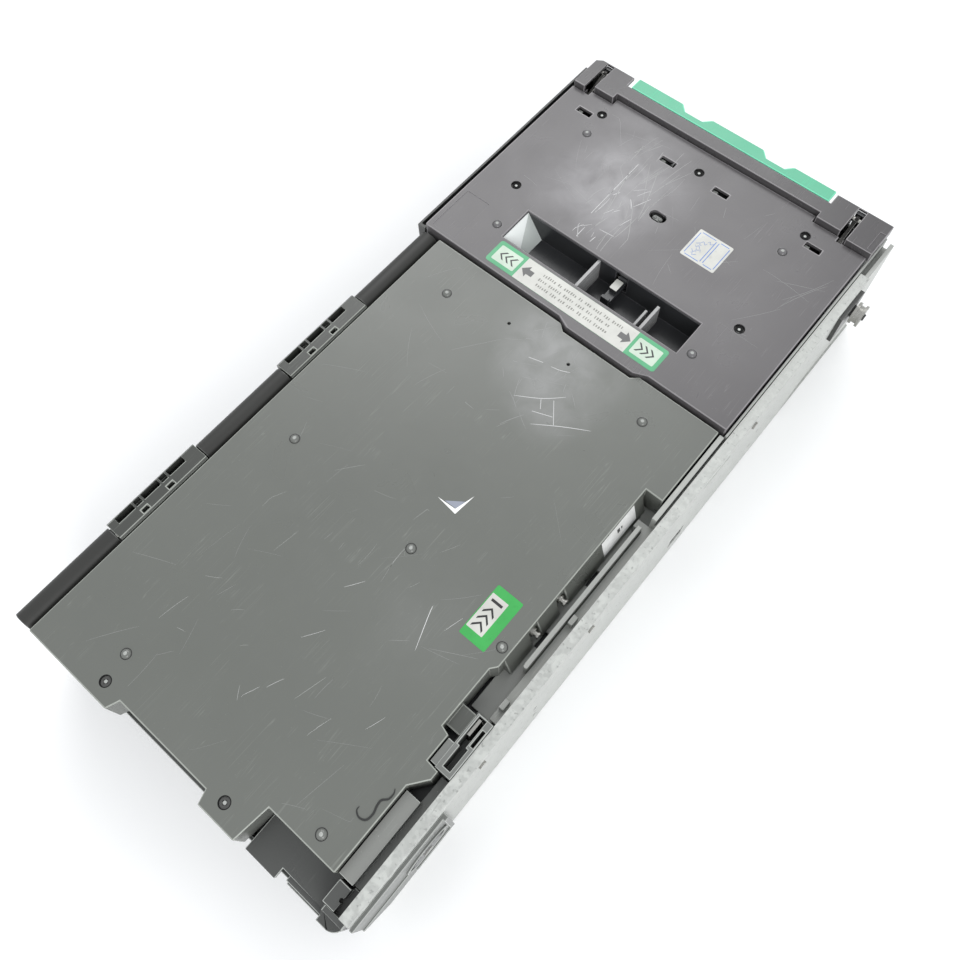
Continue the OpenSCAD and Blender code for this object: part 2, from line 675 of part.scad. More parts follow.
module upper_door() color("#848383") difference() {
    union() {
        difference() {
            slab(upper_outline(), [door_foot, upper_top]);
            box([-18.3 + skin, 290.7 - skin], [upper_y + skin, upper_end - 11.5 - skin],
                [door_foot - far, upper_top - skin]);
            box([24 + skin, 235.8 - skin], [upper_end - 20, upper_end - skin],
                [door_foot - far, upper_top - skin]);
        }
        // Carriers of the idler, the latch shaft and the screws
        for (x = [[3, 9], [259, 265]])
            box(x, [drive_y[2] - 7, drive_y[2] + 7], [door_foot, upper_top - skin]);
        for (x = [[22, 27], [238, 243]])
            box(x, [release_axis[0] - 6, release_axis[0] + 6], [-22, upper_top - skin]);
        for (p = upper_screws) rod_z(p, 5.5, [door_foot, upper_top - skin]);
        for (y = [upper_y + 100, upper_y + 158]) box([-15, 287], [y, y + 2], [-10, upper_top - skin]);
    }
    // Hand pocket
    box(pocket_x, pocket_y, [0, upper_top + far]);
    // Oval window and four rectangular slots
    for (x = [128.5, 134.5]) rod_z([x, upper_y + 132.5], 5, [0, upper_top + far]);
    box([128.5, 134.5], [upper_y + 127.5, upper_y + 137.5], [0, upper_top + far]);
    for (x = deck_slots) box([x - deck_slot[0] / 2, x + deck_slot[0] / 2],
        [upper_y + 187.5 - deck_slot[1] / 2, upper_y + 187.5 + deck_slot[1] / 2], [0, upper_top + far]);
    // Shallow inset panel at the hinge side
    box([-13.5, 11], [upper_y + 4, upper_y + 50.5], [upper_top - 0.5, upper_top + far]);
    for (p = upper_screws) screw_hole(p, upper_top, -14);
    for (p = upper_rivets) rod_z(p, 2 + slack, [-4, upper_top + far]);
    rod_x([drive_y[2], idler_z], idler_shaft_r + fit, [idler_shaft_x[0] - 0.4, idler_shaft_x[1] + 0.4]);
    rod_x(release_axis, release_r + fit, [21, 28]);
    rod_x(release_axis, release_r + fit, [237, 244]);
    // Passages for the hinge arms
    for (c = arm_x) {
        box([c - 2.4, c + 2.4], [upper_end - 12, upper_end + far], [-13, upper_top + far]);
        box([c - 2.4, c + 2.4], [upper_end - 17, upper_end], [-13, upper_top - skin]);
    }
}

module pocket_tray() color("#2c2d2e") difference() {
    union() {
        difference() {
            box([pocket_x[0] - pocket_wall, pocket_x[1] + pocket_wall],
                [pocket_y[0] - pocket_wall, pocket_y[1] + pocket_wall], [pocket_floor, upper_top - skin]);
            box(pocket_x, pocket_y, [pocket_floor + 2, upper_top]);
        }
        // Ramp at the hinge side, and the ribs
        translate([0, pocket_y[1], 0]) rotate([90, 0, 0]) linear_extrude(pocket_y[1] - pocket_y[0])
            polygon([[pocket_x[0], pocket_floor + 1], [pocket_x[0] + ramp_w, pocket_floor + 1],
                [pocket_x[0], upper_top - skin]]);
        box([118, 120.5], pocket_y, [pocket_floor + 1, 0]);
        box([176.5, 178.5], [pocket_y[0], pocket_y[1] - 12], [pocket_floor + 1, -6]);
        box([183, 185.5], [pocket_y[0], pocket_y[1] - 5], [pocket_floor + 1, -2]);
    }
    // Passage for the release lever
    box([lever_x[0] - 2, lever_x[1] + 2], [pocket_y[1] - far, pocket_y[1] + pocket_wall + far], [-21, -1]);
}

module upper_door_guide() color("dimgray") difference() {
    door_guide([-15, 287], [upper_y + 4, upper_end - 16], [drive_y[2]]);
    for (x = hook_x) hook_passage(x);
}

module upper_hinge_arms() color("silver") for (c = arm_x) difference() {
    union() {
        box([c - arm_t / 2, c + arm_t / 2], [upper_end - 44, upper_end - 2], [-12, 0.9]);
        rod_x([hinge_y, upper_axis_z], 3.8, [c - arm_t / 2, c + arm_t / 2]);
        side_slab([[upper_end - 12, -4], [upper_end - 4, -4], [hinge_y, upper_axis_z - 3.2],
            [hinge_y, upper_axis_z + 3.2], [upper_end - 6, 0.9], [upper_end - 12, 0.9]],
            [c - arm_t / 2, c + arm_t / 2]);
    }
    rod_x([hinge_y, upper_axis_z], upper_pin_r + fit, [c - 2, c + 2]);
}

module upper_door_screws() color("#3a3a3a") for (p = upper_screws) screw(p, upper_top - 0.8, 10);

module upper_door_rivets() color("#70726f") for (p = upper_rivets) rivet(p, upper_top + 0.01);

module release_lever() color("#b9bab8") difference() {
    union() {
        rod_x(release_axis, 6, lever_x);
        box(lever_x, [pocket_y[0] + 11, release_axis[0]], [release_axis[1] - 2, release_axis[1] + 2]);
        box(lever_x, [pocket_y[0] + 11, pocket_y[0] + 14], [release_axis[1] - 2, release_axis[1] + 7]);
    }
    rod_x(release_axis, release_r + slack, [lever_x[0] - far, lever_x[1] + far]);
}

module latch_shaft() color("silver") rod_x(release_axis, release_r, [hook_x[0][0] - 1, hook_x[1][1] + 1]);

module latch_hooks() color("silver") for (x = hook_x) difference() {
    union() {
        rod_x(release_axis, 6, x);
        box(x, [release_axis[0] - 4, release_axis[0] + 3.2], [-50, release_axis[1]]);
        box(x, [release_axis[0] - 4, release_axis[0] + 9], [-50, -45.5]);
    }
    rod_x(release_axis, release_r + slack, [x[0] - far, x[1] + far]);
}

// ---------- latch, release bar and roller ----------

module door_latch() color("silver") difference() {
    union() {
        rod_y(latch_axis, 3.2, latch_span);
        box(latch_plate, latch_span, [latch_axis[1], -2]);
        box([283.4, latch_plate[1]], latch_span, [-6, -4.5]);
    }
    rod_y(latch_axis, latch_pin_r + fit, [latch_span[0] - far, latch_span[1] + far]);
}

// Back edge of the release bar, with its three finger lobes
function bar_edge() = [
    [bar_x[1], bar_back], [194.5, bar_back], [188, bar_back - 7], [170, bar_back - 7],
    [163, bar_back], [109, bar_back], [102, bar_back - 7], [84, bar_back - 7],
    [77, bar_back], [bar_x[0], bar_back]
];

module release_bar() color("#70d8aa") difference() {
    union() {
        slab(concat([[bar_x[0], bar_front], [bar_x[1], bar_front]], bar_edge()),
            [strip_top - 3, strip_top]);
        box(bar_x, [bar_front, bar_front + 3], [bar_axis[1], strip_top - 2]);
        rod_x(bar_axis, 4.5, bar_x);
        rod_x(bar_axis, bar_pin_r, [21, 244]);
        for (x = [40, 132.5, 225])
            side_slab([[bar_front + 2, strip_top - 2], [bar_front + 2, -14], [bar_back - 8, strip_top - 2]],
                [x - 1.2, x + 1.2]);
    }
    for (x = [70, 195]) box([x - 9, x + 9], [bar_front - far, bar_front + 4], [-17, -6]);
}

module side_roller() color("silver") difference() {
    union() {
        rod_x(side_roller_c, side_roller_r - 2, [right_face + 5.2, 316.6]);
        rod_x(side_roller_c, side_roller_r, [right_face + 5.2, right_face + 7.6]);
        rod_x(side_roller_c, side_roller_r, [314.4, 316.6]);
    }
    rod_x(side_roller_c, stub_r + fit, [right_face, 318]);
}

// ---------- transport ----------

module drive_shaft(i) color("silver")
    rod_x([drive_y[i], drive_z], drive_shaft_r,
        [drive_shaft_x[0], i == 0 ? right_face + 5.5 : drive_shaft_x[1]]);

module drive_rollers(i) color("#2a2a2a") for (x = roller_x) difference() {
    rod_x([drive_y[i], drive_z], drive_roller_r, [x - drive_roller_w / 2, x + drive_roller_w / 2]);
    rod_x([drive_y[i], drive_z], drive_shaft_r + slack, [x - drive_roller_w, x + drive_roller_w]);
}

module drive_pulley(i, x) color("gainsboro") difference() {
    toothed([drive_y[i], drive_z], pulley_r, 40, 0.9, x);
    rod_x([drive_y[i], drive_z], drive_shaft_r + slack, [x[0] - far, x[1] + far]);
}

module input_gear() color("#2f3130") difference() {
    toothed([drive_y[0], drive_z], input_gear_r, input_teeth, 2, [right_face + 0.8, right_face + 4.8]);
    rod_x([drive_y[0], drive_z], drive_shaft_r + slack, [right_face, right_face + 6]);
}

module idler(y) color("#c8c8c4") {
    rod_x([y, idler_z], idler_shaft_r, idler_shaft_x);
    for (x = roller_x)
        rod_x([y, idler_z], idler_roller_r, [x - idler_roller_w / 2, x + idler_roller_w / 2]);
}

// ---------- nodes ----------

at_origin() bottom_cover();
at_origin() left_side_frame();
at_origin() left_bearing_plate();
at_origin() right_side_frame();
at_origin() right_side_plate();
at_origin() corner_cover();
at_origin() near_end_frame();
at_origin() far_end_frame();
at_origin() far_strip();
at_origin() hinge_barrels();
at_origin() lower_hinge_pin();
at_origin() latch_housing();
at_origin() latch_pivot_pin();
at_origin() upper_hinge_pins();
at_origin() lower_path_plate();
at_origin() upper_path_plate();
at_origin() shaft_bushes();
at_origin() timing_belt();
at_origin() motor_belt();
at_origin() drive_motor();
at_origin() control_board();
at_origin() board_parts();
at_origin() cross_bars();
at_origin() image_sensor();
at_origin() upper_strikers();
at_origin() side_roller_bracket();
at_origin() chassis_screws();
at_origin() latch_spring();
at_origin() lower_door();
at_origin() lower_door_guide();
at_origin() lower_door_rivets();
at_origin() lower_door_screws();
at_origin() recess_studs();
at_origin() upper_door();
at_origin() pocket_tray();
at_origin() upper_door_guide();
at_origin() upper_hinge_arms();
at_origin() upper_door_screws();
at_origin() upper_door_rivets();
at_origin() release_lever();
at_origin() latch_shaft();
at_origin() latch_hooks();
at_origin() door_latch();
at_origin() release_bar();
at_origin() side_roller();
at_origin() motor_pulley();
at_origin() drive_shaft(0);  // drive_shaft_1
at_origin() drive_rollers(0);  // drive_rollers_1
at_origin() drive_pulley(0, [-22, -9]);  // drive_pulley_1
at_origin() input_gear();
at_origin() drive_shaft(1);  // drive_shaft_2
at_origin() drive_rollers(1);  // drive_rollers_2
at_origin() drive_pulley(1, [-22, -16]);  // drive_pulley_2
at_origin() drive_shaft(2);  // drive_shaft_3
at_origin() drive_rollers(2);  // drive_rollers_3
at_origin() drive_pulley(2, [-22, -16]);  // drive_pulley_3
at_origin() idler(drive_y[0]);  // idler_1
at_origin() idler(drive_y[1]);  // idler_2
at_origin() idler(drive_y[2]);  // idler_3
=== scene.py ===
import json
import math
import random

import bmesh
import bpy
from mathutils import Matrix, Vector


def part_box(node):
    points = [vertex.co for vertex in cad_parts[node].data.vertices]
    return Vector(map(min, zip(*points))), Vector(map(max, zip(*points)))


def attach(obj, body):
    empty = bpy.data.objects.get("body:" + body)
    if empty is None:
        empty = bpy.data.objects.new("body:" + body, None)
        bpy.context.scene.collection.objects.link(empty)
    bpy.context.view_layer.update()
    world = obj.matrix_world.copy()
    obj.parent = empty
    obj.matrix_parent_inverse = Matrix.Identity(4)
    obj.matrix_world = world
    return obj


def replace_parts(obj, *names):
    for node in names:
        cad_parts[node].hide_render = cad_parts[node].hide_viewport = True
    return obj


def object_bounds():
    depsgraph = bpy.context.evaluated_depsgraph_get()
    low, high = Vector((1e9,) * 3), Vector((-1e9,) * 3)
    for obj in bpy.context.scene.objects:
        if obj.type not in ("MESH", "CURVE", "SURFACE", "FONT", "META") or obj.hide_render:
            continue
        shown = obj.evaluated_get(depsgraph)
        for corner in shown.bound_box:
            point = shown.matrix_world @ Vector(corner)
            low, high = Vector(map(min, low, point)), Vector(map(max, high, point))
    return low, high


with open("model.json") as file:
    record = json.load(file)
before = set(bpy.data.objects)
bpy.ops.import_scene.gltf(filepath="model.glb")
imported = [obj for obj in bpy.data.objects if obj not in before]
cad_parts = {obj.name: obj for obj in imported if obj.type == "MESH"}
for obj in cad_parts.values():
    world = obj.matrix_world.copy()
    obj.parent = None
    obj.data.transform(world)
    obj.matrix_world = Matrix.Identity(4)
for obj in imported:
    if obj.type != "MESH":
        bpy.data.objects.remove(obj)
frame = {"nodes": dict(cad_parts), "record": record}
CAD_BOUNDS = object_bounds()
SCENE = bpy.context.scene
RECORD = frame["record"]
BODY_OF = {n: b for b, nodes in RECORD["behaviour"]["bodies"].items() for n in nodes}
SLOT_OF = {s["node"]: s["material_slot"] for s in RECORD["subparts"]}

MM = 0.001
DOOR_WIDTH = 287
RECESS_X = 272
RECESS_LEAN = 6
DOOR_LOW, DOOR_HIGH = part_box("lower_door")
DECK = Vector((DOOR_HIGH.x - DOOR_WIDTH * MM, DOOR_LOW.y, DOOR_HIGH.z))
UPPER_TOP = (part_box("upper_door")[1].z - DECK.z) / MM


def at(x, y, z=0.0):
    """A point given in deck millimetres, in the row frame."""
    return DECK + Vector((x, y, z)) * MM


# ---------- materials ----------


class Shader:
    """One material's node tree, with short calls for its usual nodes."""

    def __init__(self, name, **constants):
        self.material = bpy.data.materials.new(name)
        self.material.use_nodes = True
        self.tree = self.material.node_tree
        self.bsdf = self.tree.nodes["Principled BSDF"]
        self.place = self.add("ShaderNodeTexCoord").outputs["Object"]
        for key, value in constants.items():
            self.bsdf.inputs[key.replace("_", " ")].default_value = value

    def put(self, socket, value):
        """Link a socket, or set its constant."""
        if isinstance(value, bpy.types.NodeSocket):
            self.tree.links.new(value, socket)
        else:
            socket.default_value = value

    def add(self, kind, inputs=None, **settings):
        """A new node with its settings and inputs."""
        node = self.tree.nodes.new(kind)
        for key, value in settings.items():
            setattr(node, key, value)
        for key, value in (inputs or {}).items():
            self.put(node.inputs[key], value)
        return node

    def noise(self, scale, detail=3.0, place=None, distortion=0.0):
        """Noise with values around 0.5."""
        inputs = {"Vector": place or self.place, "Scale": scale, "Detail": detail, "Distortion": distortion}
        return self.add("ShaderNodeTexNoise", inputs).outputs["Fac"]

    def stretched(self, turn, scale, ratio):
        """The place turned about Z and drawn out along one direction, for brushing and scratches."""
        inputs = {"Vector": self.place, "Rotation": (0.0, 0.0, turn), "Scale": (scale, scale / ratio, scale)}
        return self.add("ShaderNodeMapping", inputs).outputs["Vector"]

    def spread(self, value, low, high, to_low=0.0, to_high=1.0):
        """The value with low to high drawn out to a new range."""
        inputs = {"Value": value, "From Min": low, "From Max": high, "To Min": to_low, "To Max": to_high}
        return self.add("ShaderNodeMapRange", inputs).outputs["Result"]

    def maths(self, operation, a, b):
        """One arithmetic step on two values."""
        return self.add("ShaderNodeMath", {0: a, 1: b}, operation=operation).outputs[0]

    def blend(self, factor, a, b):
        """A colour between a and b."""
        return self.add("ShaderNodeMix", {0: factor, 6: a, 7: b}, data_type="RGBA").outputs[2]

    def lines(self, turn, scale, ratio, width, share):
        """Thin broken lines in one direction. share is how much of the surface has them."""
        place = self.stretched(turn, scale, ratio)
        value = self.noise(1.0, 2.0, place, 0.4)
        offset = self.add("ShaderNodeMath", {0: self.maths("SUBTRACT", value, 0.5)}, operation="ABSOLUTE")
        line = self.spread(offset.outputs[0], 0.0, width, 1.0, 0.0)
        where = self.spread(self.noise(17.0 + 9.0 * turn, 3.0), 1.0 - share - 0.03, 1.0 - share + 0.03)
        return self.maths("MULTIPLY", line, where)

    def bump(self, height, strength, distance, under=None):
        """A surface relief, on top of another one if given."""
        inputs = {"Height": height, "Strength": strength, "Distance": distance}
        if under is not None:
            inputs["Normal"] = under
        return self.add("ShaderNodeBump", inputs).outputs["Normal"]

    def finish(self, colour, roughness, normal):
        """Connect the surface and return the material."""
        self.put(self.bsdf.inputs["Base Color"], colour)
        self.put(self.bsdf.inputs["Roughness"], roughness)
        self.put(self.bsdf.inputs["Normal"], normal)
        return self.material


# Pale purplish colour of the painted reflections on the door plastics.
PAINTED_SHEEN = (0.62, 0.61, 0.63, 1.0)


def scaled(colour, factor):
    """The colour made lighter or darker, with full alpha."""
    return tuple(min(1.0, c * factor) for c in colour) + (1.0,)


def plastic(name, colour, roughness, scratched=0.5, dusty=0.5, grain=0.25, sheen_spots=(), shade_side=None):
    """Moulded plastic: fine grain, flow and sink waviness, handling scratches and dust.

    The sheen spots are painted reflections: pale patches at (x, y, reach, strength) in deck millimetres. The
    shaded side
    is painted shade, given as (axis, edge, share): the plastic is darker on the low side of that edge.
    """
    s = Shader(name, Specular_IOR_Level=0.5)
    tone = s.spread(s.noise(7.0, 4.0), 0.3, 0.7)
    base = s.blend(tone, scaled(colour, 0.96), scaled(colour, 1.05))
    mottle = s.spread(s.noise(90.0, 5.0), 0.35, 0.65, 0.0, 0.15)
    base = s.blend(mottle, base, scaled(colour, 1.07))
    # Painted reflections: pale clouds round each sheen spot.
    for x, y, reach, strength in sheen_spots:
        spot = s.add("ShaderNodeVectorMath", {0: s.place, 1: tuple(at(x, y))}, operation="DISTANCE")
        near = s.spread(spot.outputs["Value"], 0.0, reach * MM, 1.0, 0.0)
        cloud = s.maths("MULTIPLY", near, s.spread(s.noise(40.0, 6.0, distortion=0.5), 0.18, 0.8))
        base = s.blend(s.maths("MULTIPLY", cloud, strength), base, PAINTED_SHEEN)
    # Painted shade: the plastic darker on the low side of the edge.
    if shade_side is not None:
        axis, edge, share = shade_side
        along = s.add("ShaderNodeSeparateXYZ", {"Vector": s.place}).outputs[axis]
        limit = getattr(at(edge, edge), axis.lower())
        base = s.blend(s.spread(along, limit - 2 * MM, limit, 1.0, 0.0), base, scaled(colour, share))
    scratch = s.lines(0.5, 210.0, 46.0, 0.010, 0.42)
    for turn, scale, ratio in ((1.15, 150.0, 60.0), (2.1, 260.0, 40.0), (2.75, 180.0, 55.0)):
        scratch = s.maths("MAXIMUM", scratch, s.lines(turn, scale, ratio, 0.007, 0.38))
    base = s.blend(s.maths("MULTIPLY", scratch, 0.55 * scratched), base, scaled(colour, 2.1))
    cells = s.add("ShaderNodeTexVoronoi", {"Vector": s.place, "Scale": 330.0}).outputs["Distance"]
    specks = s.maths("MULTIPLY", s.spread(cells, 0.05, 0.11, 1.0, 0.0), s.spread(s.noise(40.0), 0.5, 0.62))
    base = s.blend(s.maths("MULTIPLY", specks, 0.5 * dusty), base, scaled(colour, 2.6))
    smear = s.spread(s.noise(19.0, 5.0, distortion=0.8), 0.33, 0.68, -0.03, 0.035)
    rough = s.maths("ADD", s.maths("ADD", smear, roughness), s.maths("MULTIPLY", scratch, 0.18))
    normal = s.bump(s.noise(6.0, 1.0), 0.25, 0.0016)
    normal = s.bump(s.noise(1500.0, 2.0), grain, 0.00006, normal)
    normal = s.bump(scratch, 0.25 * scratched, -0.00005, normal)
    return s.finish(base, rough, normal)


def brushed(name, colour, roughness, turn=0.0, metallic=1.0):
    """Bright plated steel or aluminium: drawn lines, smudges and a few scratches."""
    s = Shader(name, Metallic=metallic)
    drawn = s.noise(1.0, 4.0, s.stretched(turn, 2600.0, 70.0))
    tone = s.spread(drawn, 0.3, 0.7)
    base = s.blend(tone, scaled(colour, 0.82), scaled(colour, 1.1))
    stain = s.spread(s.noise(55.0, 5.0), 0.5, 0.72, 0.0, 0.45)
    base = s.blend(stain, base, scaled(colour, 0.68))
    scratch = s.lines(0.8, 420.0, 30.0, 0.012, 0.4)
    base = s.blend(s.maths("MULTIPLY", scratch, 0.5), base, scaled(colour, 1.3))
    rough = s.maths("ADD", s.spread(drawn, 0.3, 0.7, -0.06, 0.08), s.maths("ADD", stain, roughness))
    normal = s.bump(drawn, 0.12, 0.00004)
    normal = s.bump(scratch, 0.3, -0.00004, normal)
    return s.finish(base, rough, normal)


def galvanised(name, colour, roughness):
    """Zinc-coated sheet: spangle cells, rolling lines, white bloom and rub marks."""
    s = Shader(name, Metallic=0.35)
    cells = s.add("ShaderNodeTexVoronoi", {"Vector": s.place, "Scale": 420.0})
    spangle = s.add("ShaderNodeSeparateColor", {"Color": cells.outputs["Color"]}).outputs[0]
    base = s.blend(spangle, scaled(colour, 0.93), scaled(colour, 1.07))
    bloom = s.spread(s.noise(160.0, 6.0), 0.5, 0.62)
    base = s.blend(s.maths("MULTIPLY", bloom, 0.5), base, scaled(colour, 1.35))
    pits = s.spread(s.noise(330.0, 4.0), 0.62, 0.68)
    base = s.blend(s.maths("MULTIPLY", pits, 0.6), base, scaled(colour, 0.5))
    rolled = s.lines(1.5, 240.0, 50.0, 0.010, 0.45)
    scratch = s.maths("MAXIMUM", rolled, s.lines(0.4, 300.0, 30.0, 0.008, 0.35))
    base = s.blend(s.maths("MULTIPLY", scratch, 0.5), base, scaled(colour, 0.7))
    bloomed = s.spread(bloom, 0.0, 1.0, roughness, roughness + 0.2)
    rough = s.maths("ADD", s.spread(spangle, 0.0, 1.0, -0.08, 0.1), bloomed)
    normal = s.bump(s.noise(380.0, 3.0), 0.35, 0.0003)
    normal = s.bump(s.noise(26.0, 2.0), 0.3, 0.0012, normal)
    return s.finish(base, rough, normal)


def rubber(name, colour, roughness):
    """Ground rubber: dull, with paper dust in its surface."""
    s = Shader(name, Specular_IOR_Level=0.3)
    ground = s.noise(1.0, 4.0, s.stretched(1.57, 1800.0, 12.0))
    dust = s.spread(s.noise(140.0, 6.0), 0.45, 0.75, 0.0, 0.5)
    base = s.blend(dust, scaled(colour, 1.0), scaled(colour, 3.2))
    rough = s.spread(ground, 0.3, 0.7, roughness - 0.08, roughness + 0.08)
    return s.finish(base, rough, s.bump(ground, 0.3, 0.0001))


def film(name, colour, roughness=0.32):
    """Printed label film: a faint print screen, worn gloss, small creases and grime."""
    s = Shader(name, Specular_IOR_Level=0.5)
    tone = s.spread(s.noise(60.0, 5.0), 0.3, 0.7)
    base = s.blend(tone, scaled(colour, 0.9), scaled(colour, 1.06))
    grime = s.spread(s.noise(260.0, 5.0), 0.6, 0.74, 0.0, 0.3)
    base = s.blend(grime, base, scaled(colour, 0.6))
    scratch = s.lines(1.9, 380.0, 40.0, 0.012, 0.4)
    base = s.blend(s.maths("MULTIPLY", scratch, 0.3), base, scaled(colour, 1.25))
    rough = s.spread(s.noise(35.0, 4.0), 0.3, 0.7, roughness - 0.06, roughness + 0.12)
    normal = s.bump(s.noise(75.0, 3.0), 0.2, 0.0003)
    normal = s.bump(s.noise(2200.0, 1.0), 0.1, 0.00003, normal)
    return s.finish(base, rough, normal)


LOWER_GREY = (0.125, 0.131, 0.119)
UPPER_GREY = (0.098, 0.093, 0.096)
FRAME_GREY = (0.15, 0.155, 0.147)
DARK_GREY = (0.036, 0.037, 0.035)
MATERIALS = {
    "lower_door_plastic": plastic(
        "lower_door_plastic", LOWER_GREY, 0.3, 0.6, 0.5,
        # Painted reflections at these spots.
        sheen_spots=((128, 424, 46, 0.2), (160, 404, 60, 0.34), (176, 372, 34, 0.16), (212, 185, 60, 0.05)),
        # Painted shade on the hinge knuckles, past x = -2.
        shade_side=("X", -2, 0.42)),
    "upper_door_plastic": plastic(
        "upper_door_plastic", UPPER_GREY, 0.3, 0.9, 0.8,
        # Painted reflections at these spots.
        sheen_spots=((66, 566, 62, 0.3), (100, 592, 60, 0.36), (70, 640, 60, 0.16), (104, 545, 40, 0.26))),
    "frame_plastic": plastic("frame_plastic", FRAME_GREY, 0.36, 0.5, 0.7),
    "dark_plastic": plastic("dark_plastic", DARK_GREY, 0.34, 0.5, 0.8),
    "black_plastic": plastic("black_plastic", (0.026, 0.027, 0.029), 0.3, 0.5, 1.0),
    "mint_plastic": plastic("mint_plastic", (0.09, 0.41, 0.25), 0.34, 0.3, 0.4),
    "white_plastic": plastic("white_plastic", (0.7, 0.7, 0.67), 0.4, 0.3, 0.2),
    "galvanised": galvanised("galvanised", (0.44, 0.45, 0.43), 0.42),
    "bright_steel": brushed("bright_steel", (0.4, 0.395, 0.37), 0.22),
    "black_steel": brushed("black_steel", (0.035, 0.034, 0.033), 0.25),
    "bronze": brushed("bronze", (0.5, 0.36, 0.18), 0.35),
    "belt_rubber": rubber("belt_rubber", (0.02, 0.02, 0.02), 0.6),
    "roller_rubber": rubber("roller_rubber", (0.03, 0.03, 0.032), 0.65),
    "motor_case": brushed("motor_case", (0.08, 0.08, 0.085), 0.4),
    "pulley_aluminium": brushed("pulley_aluminium", (0.72, 0.72, 0.72), 0.25, 1.57),
    "board_green": plastic("board_green", (0.02, 0.13, 0.06), 0.3, 0.2, 0.2),
}
# Lighter, glossier copies of the plastics: painted highlights on rounded edges, and painted glints on rivets
# and screws. The slot tabs take the frame one as their own colour.
HIGHLIGHT_GAIN = 2.3
HIGHLIGHT_AND_TAB_PLASTIC = {
    name: plastic(name + "_edge", tuple(min(0.9, c * HIGHLIGHT_GAIN + 0.01) for c in colour), roughness, 0.3, 0.2)
    for name, colour, roughness in (
        ("lower_door_plastic", LOWER_GREY, 0.22), ("upper_door_plastic", UPPER_GREY, 0.22),
        ("frame_plastic", FRAME_GREY, 0.24), ("dark_plastic", DARK_GREY, 0.24),
        ("black_plastic", (0.03, 0.03, 0.032), 0.22), ("mint_plastic", (0.07, 0.28, 0.18), 0.3))
}
RIVET_PLASTIC = {
    "lower_door_plastic": plastic("rivet_plastic", (0.14, 0.145, 0.135), 0.13, 0.1, 0.0),
    "upper_door_plastic": plastic("rivet_plastic_upper", (0.13, 0.126, 0.13), 0.13, 0.1, 0.0),
}
STRIP_PLASTIC = plastic("strip_plastic", tuple(c * 0.72 for c in UPPER_GREY), 0.27, 0.6, 0.7)
# Painted shade: a darker copy of the frame grey for the near end frame.
SHELF_SHADE_PLASTIC = plastic("shelf_shade_plastic", (0.063, 0.065, 0.062), 0.3, 0.5, 0.6)
BARREL_PLASTIC = plastic("barrel_plastic", (0.02, 0.02, 0.018), 0.5, 0.5, 0.6)
# Painted light and shade: a lighter copy of the frame grey stands in for light in the right side channel, and
# its near end (below y = 120) is darker as painted shade.
CHANNEL_LIGHT_AND_SHADE = plastic(
    "channel_light_and_shade", (0.38, 0.388, 0.366), 0.34, 0.5, 0.7, shade_side=("Y", 120, 0.58))
# Mid grey plastic for the painted reflections on the pocket ribs.
RIB_REFLECTION = plastic("rib_reflection", (0.3, 0.3, 0.3), 0.25, 0.3, 0.4)
OWN_MATERIAL = {
    "far_strip": STRIP_PLASTIC, "near_end_frame": SHELF_SHADE_PLASTIC, "hinge_barrels": BARREL_PLASTIC,
    "upper_hinge_arms": MATERIALS["black_steel"], "right_side_frame": CHANNEL_LIGHT_AND_SHADE,
    "lower_door_screws": brushed("screw_grey", (0.12, 0.12, 0.116), 0.3),
}
GREEN_FILM = film("green_film", (0.04, 0.36, 0.075))
MINT_FILM = film("mint_film", (0.075, 0.36, 0.17))
WHITE_FILM = film("white_film", (0.55, 0.55, 0.515))
PALE_FILM = film("pale_film", (0.5, 0.6, 0.5))
BLACK_INK = film("black_ink", (0.02, 0.02, 0.022))
GREY_INK = film("grey_ink", (0.1, 0.1, 0.1))
PAPER = film("paper", (0.96, 0.96, 0.94))
SCRAP_FILM = film("scrap_film", (0.27, 0.29, 0.35))
PALE_INK = film("pale_ink", (0.22, 0.22, 0.2))
BLUE_INK = film("blue_ink", (0.1, 0.2, 0.5))
# Pale glossy plastics for the painted reflections on the pocket ramp.
RAMP_REFLECTION_BRIGHT = plastic("ramp_reflection_bright", (0.93, 0.98, 0.95), 0.1, 0.2, 0.2)
RAMP_REFLECTION_DIM = plastic("ramp_reflection_dim", (0.6, 0.64, 0.62), 0.2, 0.2, 0.2)
SCUFF = plastic("scuff", (0.36, 0.365, 0.355), 0.55, 0.2, 0.2)
SCUFF_PALE = plastic("scuff_pale", (0.26, 0.262, 0.258), 0.5, 0.2, 0.2)
CORD = plastic("cord", (0.022, 0.023, 0.022), 0.2, 0.3, 0.3)
# Pale plastic for white scuffs, and for two painted glint arcs among the rub marks.
WHITE_SCUFF_AND_GLINT = plastic("scuff_white_and_glint", (0.6, 0.6, 0.6), 0.55, 0.2, 0.2)
# Near-black plastic for the painted shade rings round the rivet heads.
RIVET_RING_SHADE = plastic("groove", (0.02, 0.02, 0.019), 0.5, 0.2, 0.2)
# Near-black rubber for the painted shade in the screw counterbores.
SCREW_SHADE = rubber("screw_shade", (0.006, 0.006, 0.006), 0.85)


# ---------- pieces ----------

WELD = 2e-6
FLAT = math.radians(1.0)
SHARP = math.radians(28.0)
ROOM_SHARE = 0.42
INNER_SHARE = 0.4
SHORT_EDGE = 1.3 * MM
ROUND_REACH = math.radians(50.0)


def make_piece(name, bm, body, material, smooth=SHARP):
    """A mesh object from bm that moves with a body."""
    mesh = bpy.data.meshes.new(name)
    bm.to_mesh(mesh)
    bm.free()
    mesh.materials.append(material)
    mesh.shade_smooth()
    mesh.set_sharp_from_angle(angle=smooth)
    piece = bpy.data.objects.new(name, mesh)
    SCENE.collection.objects.link(piece)
    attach(piece, body)
    return piece


